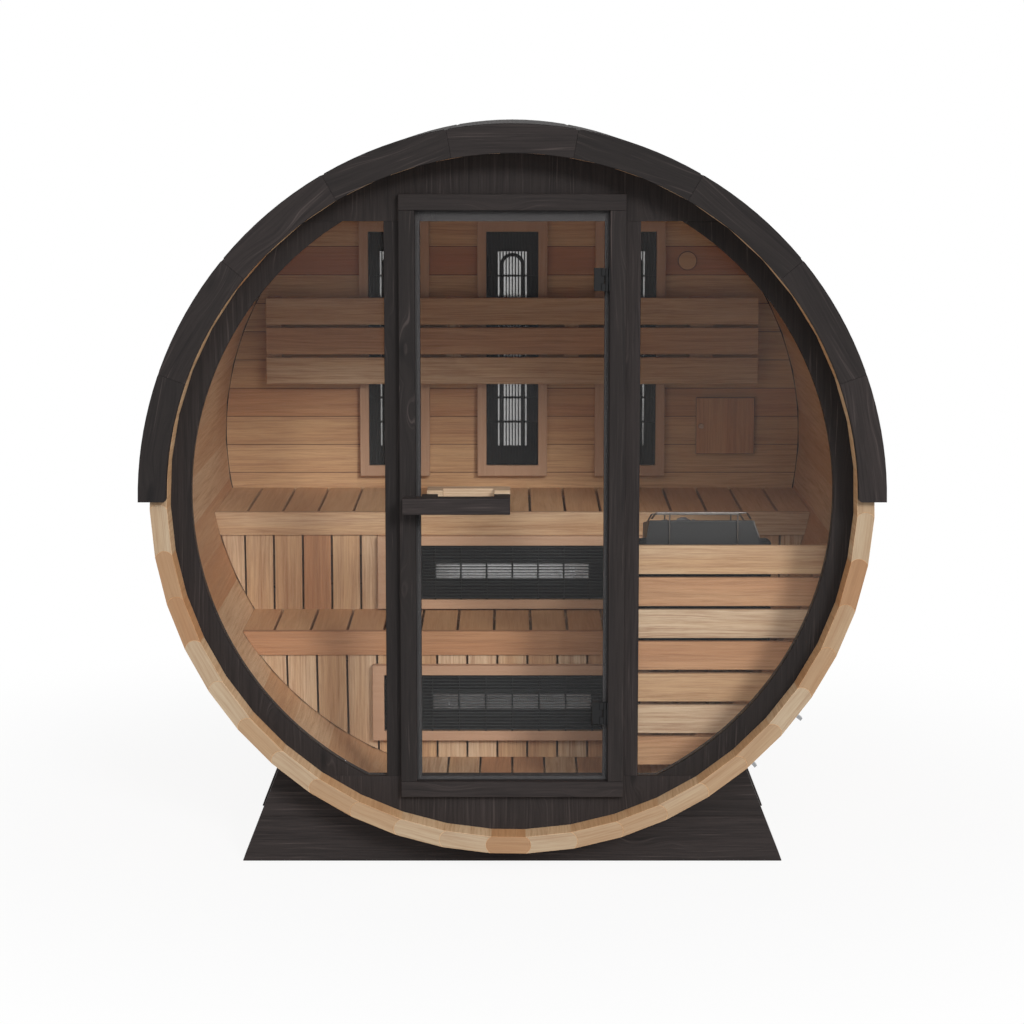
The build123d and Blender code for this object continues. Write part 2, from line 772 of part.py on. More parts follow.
vent_cover_left = vent_cover_across_share * room_radius
vent_slide = block(vent_cover_left, vent_cover_left + vent_cover_width,
                   back_wall_front - vent_cover_thickness, back_wall_front, vent_cover_foot, vent_cover_head)
vent_slide += round_bar(vent_knob_radius, back_wall_front - vent_cover_thickness - vent_knob_length,
                        back_wall_front - vent_cover_thickness, vent_cover_left + vent_knob_inset,
                        vent_cover_foot + vent_cover_height / 2)
write("vent_slide", vent_slide)
write("vent_disc", round_bar(vent_disc_radius, back_wall_front - vent_disc_thickness, back_wall_front,
                             vent_disc_across_share * room_radius,
                             axis_height + vent_disc_up_share * room_radius))


# Heater guard: boards from the door post to the barrel, on a post and a batten that follows the staves

heater_back = lower_front - heater_bench_gap
heater_front = heater_back - heater_depth
guard_back = heater_front - bracket_length
guard_front = guard_back - guard_board_thickness
guard_left = doorway_half_width + guard_post_gap
guard_foot = floor_top + guard_floor_gap
heater_left = guard_left + heater_guard_inset
heater_right = heater_left + heater_width
heater_foot = axis_height - math.sqrt((room_radius - heater_stave_gap) ** 2 - heater_right ** 2)
heater_top = heater_foot + heater_height
guard_head = heater_top - guard_heater_drop
guard_pitch = (guard_head - guard_foot + guard_board_gap) / guard_board_count
guard_board_height = guard_pitch - guard_board_gap
guard_feet = [guard_foot + guard_pitch * place for place in range(guard_board_count)]
guard_boards = [inside_barrel(block(guard_left, barrel_radius, guard_front, guard_back,
                                    foot, foot + guard_board_height), room_radius - guard_end_gap)
                for foot in guard_feet]
post_left = guard_left + guard_upright_inset
post_right = post_left + guard_upright_width
post_back = guard_back + guard_upright_depth
guard_post = inside_barrel(block(post_left, post_right, guard_back, post_back, 0, guard_head))
guard_batten = inside_barrel(block(guard_left, barrel_radius, guard_back, post_back, guard_foot, guard_head))
guard_batten -= at_axis(rod(room_radius - guard_batten_width, (0, front_end, 0), (0, back_end, 0)))
write("heater_guard_boards", *guard_boards)
write("heater_guard_uprights", guard_post, guard_batten)


# Heater: a sheet metal case with a hood that falls to the back, hung on two brackets behind the guard

def heater_rim(depth):
    """The height of the hood's rim, at a depth behind the front of the heater."""
    return heater_top - heater_top_fall * depth / heater_depth


def heater_slab(left, right, front, back, foot, rise):
    """A body between two depths behind the heater's front, with its top parallel to the sloping rim."""
    near = heater_front + front
    far = heater_front + back
    corners = [(near, foot), (far, foot), (far, heater_rim(back) + rise), (near, heater_rim(front) + rise)]
    outline = make_face(Polyline(*corners, close=True))
    return extrude(Pos(left, 0, 0) * (Plane.YZ * outline), amount=right - left, dir=(1, 0, 0))


heater_shoulder = heater_top - hood_height
hood_left = heater_left + hood_inset + hood_left_taper
hood_right = heater_right - hood_inset - hood_right_taper
case_outline = make_face(Polyline(
    (heater_left, heater_foot), (heater_right, heater_foot), (heater_right, heater_shoulder),
    (heater_right - hood_inset, heater_shoulder), (hood_right, heater_top), (hood_left, heater_top),
    (heater_left + hood_inset, heater_shoulder), (heater_left, heater_shoulder), close=True))
for shoulder_x in (heater_left, heater_right):
    corner = case_outline.vertices().sort_by_distance((shoulder_x, heater_shoulder))[0]
    case_outline = fillet(corner, heater_shoulder_radius)
tray_floor = heater_top - heater_tray_depth
tray_left = hood_left + heater_wall
tray_right = hood_right - heater_wall
heater_case = upright(case_outline, heater_front, heater_back)
heater_case &= heater_slab(heater_left, heater_right, 0, heater_depth, heater_foot, 0)
heater_case -= block(tray_left, tray_right, heater_front + heater_wall, heater_back - heater_wall,
                     tray_floor, heater_top + overrun)
stone_gap = heater_wall + fit_clearance
stone_heap = heater_slab(tray_left + fit_clearance, tray_right - fit_clearance,
                         stone_gap, heater_depth - stone_gap, tray_floor, stone_heap_rise)
stone_heap = chamfer(stone_heap.faces().sort_by(Axis.Z)[-1].edges(), stone_heap_chamfer)


def heater_rail(face, inward):
    """A bent rail over one edge of the hood, on two rods that stand off the face below it."""
    bar_y = face - inward * rail_lead
    end_y = bar_y + inward * rail_end_back
    rim_heights = [heater_rim(y - heater_front) for y in (face, end_y)]
    bar_z = rim_heights[0] + rail_rise
    end_z = max(rim_heights) + rail_radius + fit_clearance
    path = FilletPolyline(
        (hood_left + rail_end_inset, end_y, end_z), (hood_left + rail_corner_inset, bar_y, bar_z),
        (hood_right - rail_corner_inset, bar_y, bar_z), (hood_right - rail_end_inset, end_y, end_z),
        radius=rail_bend_radius)
    rail = sweep(Plane(origin=path @ 0, z_dir=path % 0) * Circle(rail_radius), path=path)
    low_y, high_y = sorted((bar_y, face))
    for rod_x in (hood_left + rail_left_rod_inset, hood_right - rail_right_rod_inset):
        rail += rod(rail_rod_radius, (rod_x, bar_y, bar_z), (rod_x, bar_y, bar_z - rail_rod_length))
        rail += round_bar(rail_pad_radius, low_y, high_y, rod_x, bar_z - rail_pad_drop)
    return rail


bracket_head = guard_head - bracket_drop
bracket_foot = bracket_head - bracket_height
brackets = [block(left, left + bracket_width, guard_back, heater_front, bracket_foot, bracket_head)
            for left in (heater_left + bracket_inset, heater_right - bracket_inset - bracket_width)]
write("heater_case", heater_case)
write("heater_stones", stone_heap)
write("heater_rail", heater_rail(heater_front, 1), heater_rail(heater_back, -1))
write("heater_brackets", *brackets)
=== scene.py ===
"""Barrel sauna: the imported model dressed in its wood, glass, steel and stone, under studio light."""

import functools
import itertools
import logging
import math
import random
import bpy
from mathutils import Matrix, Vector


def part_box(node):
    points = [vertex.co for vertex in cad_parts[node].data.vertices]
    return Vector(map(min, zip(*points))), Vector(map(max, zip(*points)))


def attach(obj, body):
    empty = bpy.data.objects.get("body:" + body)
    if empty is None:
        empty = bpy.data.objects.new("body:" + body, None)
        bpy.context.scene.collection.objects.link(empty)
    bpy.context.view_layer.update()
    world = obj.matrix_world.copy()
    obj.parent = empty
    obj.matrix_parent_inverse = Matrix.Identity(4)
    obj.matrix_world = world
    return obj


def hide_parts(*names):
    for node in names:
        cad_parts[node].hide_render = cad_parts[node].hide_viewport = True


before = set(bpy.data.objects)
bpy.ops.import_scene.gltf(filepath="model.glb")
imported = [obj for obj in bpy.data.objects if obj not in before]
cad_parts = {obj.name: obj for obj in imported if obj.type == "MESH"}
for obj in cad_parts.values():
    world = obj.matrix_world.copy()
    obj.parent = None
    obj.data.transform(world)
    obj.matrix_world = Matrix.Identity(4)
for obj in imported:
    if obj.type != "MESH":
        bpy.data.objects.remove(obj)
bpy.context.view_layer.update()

import zlib
from dataclasses import dataclass, field, replace
from enum import Enum
from typing import Any, Mapping, Sequence

import bpy
import numpy as np
from mathutils import Matrix, Vector

log = logging.getLogger("barrel_sauna")

Colour = tuple[int, int, int]
Light = tuple[float, float, float, float]
Point = tuple[float, float, float]
Span = tuple[float, float]
Plane = tuple[Vector, Vector]
Box = tuple[Vector, Vector]
Piece = bpy.types.Object
Mesh = bpy.types.Mesh
Material = bpy.types.Material

AXIS_HEIGHT = 1.122
UP = (0, 0, 1)
RIGHT = (1, 0, 0)
WHITE = (1, 1, 1, 1)
# Vertices nearer than this are one, and faces within this many degrees are one flat face.
MERGE = 0.00002
FLAT = 0.4
# Edges sharper than these many degrees are rounded off, on wood, on metal and at the ends of bars.
WOOD_EDGE = 28.0
METAL_EDGE = 40.0
BAR_EDGE = 60.0
EASE_STEPS = 2
# Corners sharper than these many degrees stay sharp to the light, on flat and on round pieces.
FLAT_CORNER = 32.0
ROUND_CORNER = 40.0
TUBE_STEPS = 3
# A face that looks this far along the barrel is a sawn end, and each board's grain starts elsewhere.
SAWN_FACE = 0.95
GRAIN_SHIFT = ((-9, 9), (-0.05, 0.05), (0.04, 0.16))


class Body(Enum):
    """What a piece moves with."""

    CABIN = "cabin"
    DOOR = "door"


class Slot(Enum):
    """The record's material slots."""

    STAINED = "black_stained_wood"
    STAVE = "stave_wood"
    WALL = "wall_wood"
    BENCH = "bench_wood"
    GLASS = "tinted_glass"
    PLATE = "infrared_plate"
    BLACK_STEEL = "black_steel"
    BRIGHT_STEEL = "bright_steel"
    PAINT = "heater_paint"
    STONE = "heater_stone"


class Grain(Enum):
    """Which way the grain of a board runs."""

    ACROSS = "x"
    ALONG = "y"
    UPRIGHT = "z"
    STAVE = "along the barrel, with the board's face to the axis"
    ROUND = "round the barrel"


def linear(colour: Colour) -> Light:
    """Turn a colour as a screen shows it into the light it stands for.

    Args:
        colour: Red, green and blue from 0 to 255.

    Returns:
        The linear colour with full alpha.
    """
    light = []
    for value in colour:
        part = value / 255
        light.append(part / 12.92 if part <= 0.04045 else ((part + 0.055) / 1.055) ** 2.4)
    return *light, 1.0


class Term:
    """A number in a material's nodes, with the arithmetic that the finishes use."""

    def __init__(self, recipe: "Recipe", socket: bpy.types.NodeSocket) -> None:
        """Keep the socket that gives the number."""
        self.recipe = recipe
        self.socket = socket

    def _math(self, operation: str, *values: Any) -> "Term":
        """Add a Math node on these values."""
        return self.recipe.node("ShaderNodeMath", {"operation": operation}, dict(enumerate(values)))

    def __add__(self, other: Any) -> "Term":
        """This number plus another."""
        return self._math("ADD", self, other)

    __radd__ = __add__

    def __sub__(self, other: Any) -> "Term":
        """This number less another."""
        return self._math("SUBTRACT", self, other)

    def __rsub__(self, other: Any) -> "Term":
        """Another number less this one."""
        return self._math("SUBTRACT", other, self)

    def __mul__(self, other: Any) -> "Term":
        """This number times another."""
        return self._math("MULTIPLY", self, other)

    __rmul__ = __mul__

    def __truediv__(self, other: Any) -> "Term":
        """This number over another."""
        return self._math("DIVIDE", self, other)

    def root(self) -> "Term":
        """The square root of this number."""
        return self._math("SQRT", self)

    def top(self, other: Any) -> "Term":
        """The larger of this number and another."""
        return self._math("MAXIMUM", self, other)

    def part(self) -> "Term":
        """What is left of this number over a whole one."""
        return self._math("FRACT", self)

    def rise(self, low: float, high: float) -> "Term":
        """Go smoothly from 0 at low to 1 at high."""
        settings = {"interpolation_type": "SMOOTHSTEP"}
        return self.recipe.node("ShaderNodeMapRange", settings, {0: self, 1: low, 2: high, 3: 0.0, 4: 1.0})


class Recipe:
    """The nodes of a material, or of the room's light, in the making."""

    def __init__(self, owner: Material | bpy.types.World) -> None:
        """Start with no nodes.

        Args:
            owner: What the nodes belong to.
        """
        owner.use_nodes = True
        self.tree = owner.node_tree
        self.tree.nodes.clear()

    def node(self, kind: str, settings: Mapping[str, Any] | None = None,
             links: Mapping[Any, Any] | None = None, out: int | str = 0) -> Term:
        """Add one node.

        Args:
            kind: The node's type.
            settings: What is set on the node first; stops are a ramp's places and colours.
            links: A value or a term for each socket, by its name or number.
            out: Which output is wanted.

        Returns:
            That output.
        """
        made = self.tree.nodes.new(kind)
        for key, value in (settings or {}).items():
            if key == "stops":
                ramp = made.color_ramp
                while len(ramp.elements) < len(value):
                    ramp.elements.new(0.5)
                for element, (place, colour) in zip(ramp.elements, value):
                    element.position = place
                    element.color = colour
            else:
                setattr(made, key, value)
        for key, value in (links or {}).items():
            if isinstance(value, Term):
                self.tree.links.new(value.socket, made.inputs[key])
            else:
                made.inputs[key].default_value = value
        return Term(self, made.outputs[out])

    def vector(self, along: Any, across: Any, through: Any) -> Term:
        """Make a vector of three numbers."""
        return self.node("ShaderNodeCombineXYZ", None, {0: along, 1: across, 2: through})

    def split(self, vector: Term) -> tuple[Term, Term, Term]:
        """Take a vector apart.

        Args:
            vector: The vector.

        Returns:
            Its three numbers.
        """
        first = self.node("ShaderNodeSeparateXYZ", None, {0: vector})
        outputs = first.socket.node.outputs
        return first, Term(self, outputs[1]), Term(self, outputs[2])

    def attribute(self, name: str, out: str = "Fac") -> Term:
        """A value that is written on the mesh."""
        return self.node("ShaderNodeAttribute", {"attribute_name": name}, None, out)

    def place(self) -> Term:
        """A point's place on the object."""
        return self.node("ShaderNodeTexCoord", None, None, "Object")

    def noise(self, vector: Term, scale: float, detail: float, rough: float = 0.5) -> Term:
        """Cloudy values from 0 to 1."""
        links = {"Vector": vector, "Scale": scale, "Detail": detail, "Roughness": rough}
        return self.node("ShaderNodeTexNoise", None, links)

    def mix(self, share: Any, first: Any, second: Any, blend: str = "MIX") -> Term:
        """Mix two colours by a share of the second."""
        settings = {"data_type": "RGBA", "blend_type": blend}
        return self.node("ShaderNodeMix", settings, {0: share, 6: first, 7: second}, 2)

    def bump(self, height: Term, strength: float, depth: float) -> Term:
        """A bumpy normal from a height."""
        return self.node("ShaderNodeBump", None, {"Strength": strength, "Distance": depth, "Height": height})

    def seen(self) -> Term:
        """Give 1 to what the camera sees, straight, by a mirror or through glass, and 0 to stray light.

        Returns:
            That number.
        """
        rays = ("Is Camera Ray", "Is Glossy Ray", "Is Transmission Ray")
        camera, gloss, through = [self.node("ShaderNodeLightPath", None, None, ray) for ray in rays]
        return camera.top(gloss).top(through)

    def finish(self, shader: Term, kind: str = "ShaderNodeOutputMaterial") -> None:
        """Link a shader to the output."""
        output = self.tree.nodes.new(kind)
        self.tree.links.new(shader.socket, output.inputs["Surface"])


@dataclass(frozen=True)
class Finish:
    """How a piece looks, and the record's slot that it is finished from."""

    name: str
    slot: Slot

    def values(self, recipe: Recipe) -> dict[str, Any]:
        """What the general shader gets, which each kind of finish says for itself."""
        raise NotImplementedError(self.name)

    @functools.cache
    def material(self) -> Material:
        """Make the finish's material, the first time that it is asked for.

        Returns:
            The material.
        """
        made = bpy.data.materials.new(self.name)
        recipe = Recipe(made)
        recipe.finish(recipe.node("ShaderNodeBsdfPrincipled", None, self.values(recipe)))
        return made


@dataclass(frozen=True)
class Figure:
    """One part of a wood's pattern: how often it changes along and across a metre, and how fine it is."""

    along: float
    across: float
    detail: float = 0.0
    rough: float = 0.5

    def place(self, run: tuple[Term, Term, Term], sway: Any = 0.0) -> Term:
        """Stretch a place in the board to this part's measure.

        Args:
            run: The place along the grain, across it and through it.
            sway: How far the part is pushed across.

        Returns:
            The stretched place.
        """
        along, across, through = run
        swayed = across * self.across + sway
        return along.recipe.vector(along * self.along, swayed, through * self.across)

    def noise(self, run: tuple[Term, Term, Term], sway: Any = 0.0) -> Term:
        """Draw this part as cloudy values from 0 to 1."""
        return run[0].recipe.noise(self.place(run, sway), 1.0, self.detail, self.rough)


WARP = Figure(1.6, 9, 3.0)
BAND = Figure(1.6, 66, 4.0, 0.62)
STREAK = Figure(5.5, 200, 4.0, 0.72)
FIBRE = Figure(24, 520, 2.0)
CLOUD = Figure(1.1, 14, 2.0)
THREAD = Figure(3.2, 150, 3.0, 0.65)
KNOTS = Figure(2.6, 8.5)
RING_WIDTH = 0.0105
RING_WARP = 0.03


@dataclass(frozen=True)
class Wood(Finish):
    """Planed wood that takes its grain and tone from each board."""

    tones: tuple[Colour, ...]
    line: Colour
    line_share: float = 0.5
    glint: Colour | None = None
    knot: Colour | None = None
    roughness: float = 0.6
    specular: float = 0.3
    bump_depth: float = 0.0006
    sawn: Colour | None = None
    # Darkens every face that does not look along the barrel, such as the grooves between boards: painted
    # shade.
    painted_groove_shade: Colour | None = None

    def body(self, recipe: Recipe, cloud: Term) -> Term:
        """Colour the board by its tone, with a little cloud in it.

        Args:
            recipe: The material in the making.
            cloud: Cloudy values from 0 to 1.

        Returns:
            The colour without its lines.
        """
        last = len(self.tones) - 1
        stops = [(place / last, linear(colour)) for place, colour in enumerate(self.tones)]
        shade = recipe.attribute("tone") + (cloud - 0.5) * 0.7
        return recipe.node("ShaderNodeValToRGB", {"stops": stops}, {0: shade})

    def values(self, recipe: Recipe) -> dict[str, Any]:
        """Draw the rings, bands, streaks and fibres, what else this wood has, and any painted shade in its
        grooves.

        Args:
            recipe: The material in the making.

        Returns:
            What the general shader gets.
        """
        run = recipe.split(recipe.attribute("grain", "Vector"))
        _, across, through = run
        warp = WARP.noise(run)
        distance = (across * across + through * through).root() + warp * RING_WARP
        late = (distance / RING_WIDTH).part().rise(0.25, 0.97)
        sway = (warp - 0.5) * 2.2
        if self.knot:
            near = recipe.node("ShaderNodeTexVoronoi", None, {"Vector": KNOTS.place(run), "Scale": 1.0})
            sway = sway + (1 - near.rise(0.0, 0.35)) * 1.8
        band = BAND.noise(run, sway)
        streak = STREAK.noise(run, sway * 3)
        fibre = FIBRE.noise(run)
        lines = late * 0.2 + band.rise(0.4, 0.7) * 0.55 + streak.rise(0.4, 0.66) * 0.7
        lines = lines + (fibre - 0.5) * 0.6
        colour = self.body(recipe, CLOUD.noise(run))
        colour = recipe.mix(lines * self.line_share, colour, linear(self.line))
        if self.glint:
            thread = THREAD.noise(run, sway * 3)
            colour = recipe.mix(thread.rise(0.56, 0.78) * 0.65, colour, linear(self.glint))
        if self.knot:
            eye = 1 - (near + (warp - 0.5) * 0.05).rise(0.04, 0.13)
            colour = recipe.mix(eye * 0.85, colour, linear(self.knot))
        if self.sawn:
            colour = recipe.mix(recipe.attribute("sawn"), colour, linear(self.sawn), "MULTIPLY")
        # Painted shade: the grooves and edges of the boards are darkened.
        if self.painted_groove_shade:
            colour = recipe.mix(1 - recipe.attribute("sawn"), colour, linear(self.painted_groove_shade), "MULTIPLY")
        height = streak * 0.5 + fibre * 0.3 + band * 0.2 - late * 0.2
        return {
            "Base Color": colour,
            "Roughness": (streak - 0.5) * 0.16 + self.roughness,
            "Specular IOR Level": self.specular,
            "Normal": recipe.bump(height, 0.35, self.bump_depth),
        }


@dataclass(frozen=True)
class Glass(Finish):
    """A pane that lets light straight through and keeps a faint haze of its own."""

    tint: Colour
    cover: float

    def values(self, recipe: Recipe) -> dict[str, Any]:
        """Smear the pane faintly, and close it towards its grazing side.

        Args:
            recipe: The material in the making.

        Returns:
            What the general shader gets.
        """
        facing = recipe.node("ShaderNodeLayerWeight", None, {"Blend": 0.25}, "Facing")
        smear = recipe.noise(recipe.place(), 3.0, 3.0)
        return {
            "Base Color": linear(self.tint),
            "Roughness": smear * 0.03 + 0.02,
            "Alpha": facing * 0.35 + smear * 0.02 + self.cover,
        }


@dataclass(frozen=True)
class Metal(Finish):
    """Steel, bare or painted."""

    colour: Colour
    worn: Colour
    metallic: float = 0.0
    roughness: float = 0.5
    speck: float = 900.0
    bump: float = 0.12
    stretch: Point = (1.0, 1.0, 1.0)
    specular: float = 0.5

    def values(self, recipe: Recipe) -> dict[str, Any]:
        """Speck the metal finely, and wear it in broad patches.

        Args:
            recipe: The material in the making.

        Returns:
            What the general shader gets.
        """
        x, y, z = recipe.split(recipe.place())
        place = recipe.vector(x * self.stretch[0], y * self.stretch[1], z * self.stretch[2])
        fine = recipe.noise(place, self.speck, 2.0)
        broad = recipe.noise(place, 9.0, 3.0)
        wear = broad.rise(0.45, 0.8) * 0.5 + (fine - 0.5) * 0.3
        return {
            "Base Color": recipe.mix(wear, linear(self.colour), linear(self.worn)),
            "Metallic": self.metallic,
            "Specular IOR Level": self.specular,
            "Roughness": (broad - 0.5) * 0.18 + (fine - 0.5) * 0.1 + self.roughness,
            "Normal": recipe.bump(fine, self.bump, 0.0004),
        }


@dataclass(frozen=True)
class Stone(Finish):
    """Rough grey stone."""

    pale: Colour
    deep: Colour

    def values(self, recipe: Recipe) -> dict[str, Any]:
        """Mottle the stone and strew it with grit.

        Args:
            recipe: The material in the making.

        Returns:
            What the general shader gets.
        """
        place = recipe.place()
        mottle = recipe.noise(place, 45.0, 6.0, 0.65)
        grit = recipe.noise(place, 420.0, 3.0)
        height = mottle * 0.7 + grit * 0.3
        return {
            "Base Color": recipe.mix(height.rise(0.35, 0.7), linear(self.deep), linear(self.pale)),
            "Roughness": grit * 0.2 + 0.7,
            "Normal": recipe.bump(height, 0.7, 0.004),
        }


STAINED = Wood("black_stained_boards", Slot.STAINED, ((37, 33, 32), (43, 38, 37), (50, 44, 43)),
               (27, 24, 24), 0.62, (80, 71, 69), (22, 20, 20), 0.68, 0.15, 0.0009)
STOP_WOOD = Wood("door_stop_bead", Slot.STAINED, ((62, 60, 60), (68, 65, 65)), (48, 46, 46), 0.5,
                 roughness=0.68, specular=0.15)
STAVES = Wood("planed_staves", Slot.STAVE,
              ((223, 191, 153), (216, 178, 136), (206, 161, 117), (200, 146, 100)),
              (172, 122, 82), 0.5, sawn=(203, 213, 225))
# The wall boards' grooves and edges are darkened with painted shade.
WALL_BOARDS = Wood("wall_boards", Slot.WALL,
                   ((221, 182, 136), (210, 167, 121), (199, 146, 103), (184, 120, 84)),
                   (150, 100, 68), 0.45, painted_groove_shade=(128, 112, 108))
# The vent wood keeps the same painted shade on its edges.
VENT_WOOD = replace(WALL_BOARDS, name="vent_wood", slot=Slot.BENCH)
BENCH_BOARDS = Wood("bench_boards", Slot.BENCH,
                    ((212, 187, 156), (201, 165, 125), (195, 151, 112), (185, 135, 96)),
                    (150, 106, 74), 0.6)
# The bench tops take a paler, less streaked copy of the bench wood: painted light for the light on their
# upward faces.
LIT_SLAT_BOARDS = Wood("bench_slats", Slot.BENCH, ((222, 187, 144), (209, 168, 124), (201, 155, 112)),
                   (168, 118, 80), 0.35)
TRAY_WOOD = Wood("infrared_trays", Slot.WALL, ((195, 160, 130), (189, 151, 122)), (168, 128, 99), 0.35)
DOOR_GLASS = Glass("door_pane", Slot.GLASS, (170, 172, 175), 0.006)
WINDOW_GLASS = Glass("window_pane", Slot.GLASS, (170, 171, 172), 0.012)
PLATE_BLACK = Metal("heating_plate", Slot.PLATE, (34, 34, 34), (40, 40, 40), 0.0, 0.6, specular=0.2)
WIRE_BLACK = Metal("guard_wire", Slot.PLATE, (32, 33, 32), (42, 42, 41), 0.0, 0.5, specular=0.25)
BENCH_MIRROR = Metal("bench_reflector", Slot.BRIGHT_STEEL, (206, 206, 206), (188, 189, 191), 1.0, 0.22,
                     300.0, 0.02)
# The rear reflectors take a darker copy of the bench reflectors' steel: painted shade that dims them.
REAR_MIRROR = Metal("rear_reflector", Slot.BRIGHT_STEEL, (168, 168, 167), (153, 153, 154), 1.0, 0.22,
                    300.0, 0.02)
BLACK_STEEL = Metal("black_hinge_steel", Slot.BLACK_STEEL, (17, 17, 18), (24, 24, 25), 0.0, 0.55,
                    specular=0.2)
# A black ring round the back wall, put where there is only the shadow of the gap against the staves: painted
# shade.
SHADE_RING_BLACK = replace(BLACK_STEEL, name="back_wall_seal", slot=Slot.STAINED)
BRIGHT_STEEL = Metal("bright_steel", Slot.BRIGHT_STEEL, (128, 123, 119), (102, 99, 96), 1.0, 0.36,
                     700.0, 0.05, (1, 1, 0.1))
HOOP_STEEL = Metal("hoop_steel", Slot.BRIGHT_STEEL, (150, 151, 153), (118, 119, 122), 1.0, 0.35,
                   700.0, 0.05)
PAINT = Metal("heater_paint", Slot.PAINT, (42, 42, 42), (48, 48, 48), 0.0, 0.5, 1400.0, 0.2, specular=0.3)
ROCK = Stone("heater_stones", Slot.STONE, (128, 129, 131), (66, 67, 70))


class Workbench:
    """Modelling by operators, one piece at a time."""

    def clear(self) -> None:
        """Leave edit mode and select nothing."""
        active = bpy.context.view_layer.objects.active
        if active and active.mode != "OBJECT":
            bpy.ops.object.mode_set(mode="OBJECT")
        bpy.ops.object.select_all(action="DESELECT")

    def take(self, piece: Piece) -> None:
        """Select one piece alone and make it the active one.

        Args:
            piece: The piece.
        """
        self.clear()
        piece.select_set(True)
        bpy.context.view_layer.objects.active = piece

    def edit(self, piece: Piece, mode: str = "FACE") -> None:
        """Open a piece in edit mode with all of it selected.

        Args:
            piece: The piece.
            mode: What is selected by: VERT, EDGE or FACE.
        """
        self.take(piece)
        bpy.ops.object.mode_set(mode="EDIT")
        bpy.ops.mesh.select_mode(type=mode)
        bpy.ops.mesh.select_all(action="SELECT")

    def close(self) -> None:
        """Leave edit mode."""
        bpy.ops.object.mode_set(mode="OBJECT")

    def turn_out(self) -> None:
        """Make the faces of the piece that is being edited point outwards."""
        bpy.ops.mesh.select_all(action="SELECT")
        bpy.ops.mesh.normals_make_consistent(inside=False)

    def added(self, name: str) -> Piece:
        """Name the primitive that was just added.

        Args:
            name: The piece's name.

        Returns:
            The piece.
        """
        piece = bpy.context.view_layer.objects.active
        piece.name = name
        return piece

    def twin(self, piece: Piece, name: str) -> Piece:
        """Copy a piece with a mesh of its own.

        Args:
            piece: What is copied.
            name: The copy's name.

        Returns:
            The copy.
        """
        copy = bpy.data.objects.new(name, piece.data.copy())
        bpy.context.scene.collection.objects.link(copy)
        return copy

    def from_node(self, node: str, name: str) -> Piece:
        """Copy a CAD node's mesh as a new piece, with its doubles merged and its flat faces made whole.

        Args:
            node: The CAD node's name.
            name: The piece's name.

        Returns:
            The new piece.
        """
        piece = self.twin(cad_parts[node], name)
        piece.data.materials.clear()
        self.edit(piece, "VERT")
        bpy.ops.mesh.remove_doubles(threshold=MERGE)
        bpy.ops.mesh.dissolve_limited(angle_limit=math.radians(FLAT))
        self.close()
        return piece

    def ease(self, piece: Piece, width: float, angle: float = WOOD_EDGE) -> None:
        """Round off a piece's sharp edges.

        Args:
            piece: The piece.
            width: How wide the rounding is.
            angle: Edges sharper than this many degrees are rounded.
        """
        self.edit(piece, "EDGE")
        bpy.ops.mesh.select_all(action="DESELECT")
        bpy.ops.mesh.edges_select_sharp(sharpness=math.radians(angle))
        bpy.ops.mesh.bevel(offset=width, segments=EASE_STEPS, affect="EDGES", clamp_overlap=True)
        self.close()

    def smooth(self, piece: Piece, angle: float = FLAT_CORNER) -> None:
        """Shade a piece smoothly, apart from its corners.

        Args:
            piece: The piece.
            angle: Corners sharper than this many degrees stay sharp.
        """
        self.take(piece)
        bpy.ops.object.shade_smooth_by_angle(angle=math.radians(angle))
        even = piece.modifiers.new("even", "WEIGHTED_NORMAL")
        even.keep_sharp = True
        bpy.ops.object.modifier_apply(modifier="even")

    def slice(self, piece: Piece, name: str, low: Plane, high: Plane) -> Piece:
        """Cut one board out of a piece between two planes.

        Args:
            piece: What is cut, which stays as it is.
            name: The board's name.
            low: A point and a direction of the plane that the board starts at.
            high: The same of the plane that it ends at.

        Returns:
            The board.
        """
        board = self.twin(piece, name)
        for (place, way), flip in ((low, 1), (high, -1)):
            self.edit(board)
            bpy.ops.mesh.bisect(plane_co=place, plane_no=way * flip, use_fill=True, clear_inner=True)
            self.close()
        return board

    def join(self, pieces: Sequence[Piece], name: str) -> Piece:
        """Join pieces into one.

        Args:
            pieces: The pieces.
            name: The name of the whole.

        Returns:
            The whole.
        """
        self.clear()
        for piece in pieces:
            piece.select_set(True)
        bpy.context.view_layer.objects.active = pieces[0]
        bpy.ops.object.join()
        return self.added(name)

    def settle(self, piece: Piece) -> None:
        """Put a piece's place into its mesh."""
        piece.data.transform(piece.matrix_basis)
        piece.matrix_basis = Matrix.Identity(4)

    def block(self, name: str, low: Point, high: Point, ease: float) -> Piece:
        """Model a block between two corners, with its edges rounded off.

        Args:
            name: The piece's name.
            low: Its lowest corner.
            high: Its highest corner.
            ease: How wide the rounding of its edges is.

        Returns:
            The block.
        """
        self.clear()
        bpy.ops.mesh.primitive_cube_add(size=1, location=(Vector(low) + Vector(high)) / 2)
        piece = self.added(name)
        piece.scale = Vector(high) - Vector(low)
        self.settle(piece)
        self.ease(piece, ease)
        return piece

    def bar(self, name: str, start: Point, end: Point, radius: float, sides: int,
            ease: float = 0.0) -> Piece:
        """Model a round bar: a ring of edges, filled and drawn out.

        Args:
            name: The piece's name.
            start: The middle of its first end.
            end: The middle of its last end.
            radius: Its radius.
            sides: How many sides it has.
            ease: How wide the rounding of its ends is.

        Returns:
            The bar.
        """
        self.clear()
        way = Vector(end) - Vector(start)
        bpy.ops.mesh.primitive_circle_add(vertices=sides, radius=radius, fill_type="NGON")
        piece = self.added(name)
        self.edit(piece)
        bpy.ops.mesh.extrude_region_move(TRANSFORM_OT_translate={"value": (0, 0, way.length)})
        self.turn_out()
        self.close()
        turn = Vector(UP).rotation_difference(way).to_matrix().to_4x4()
        piece.data.transform(Matrix.Translation(start) @ turn)
        if ease:
            self.ease(piece, ease, BAR_EDGE)
        return piece

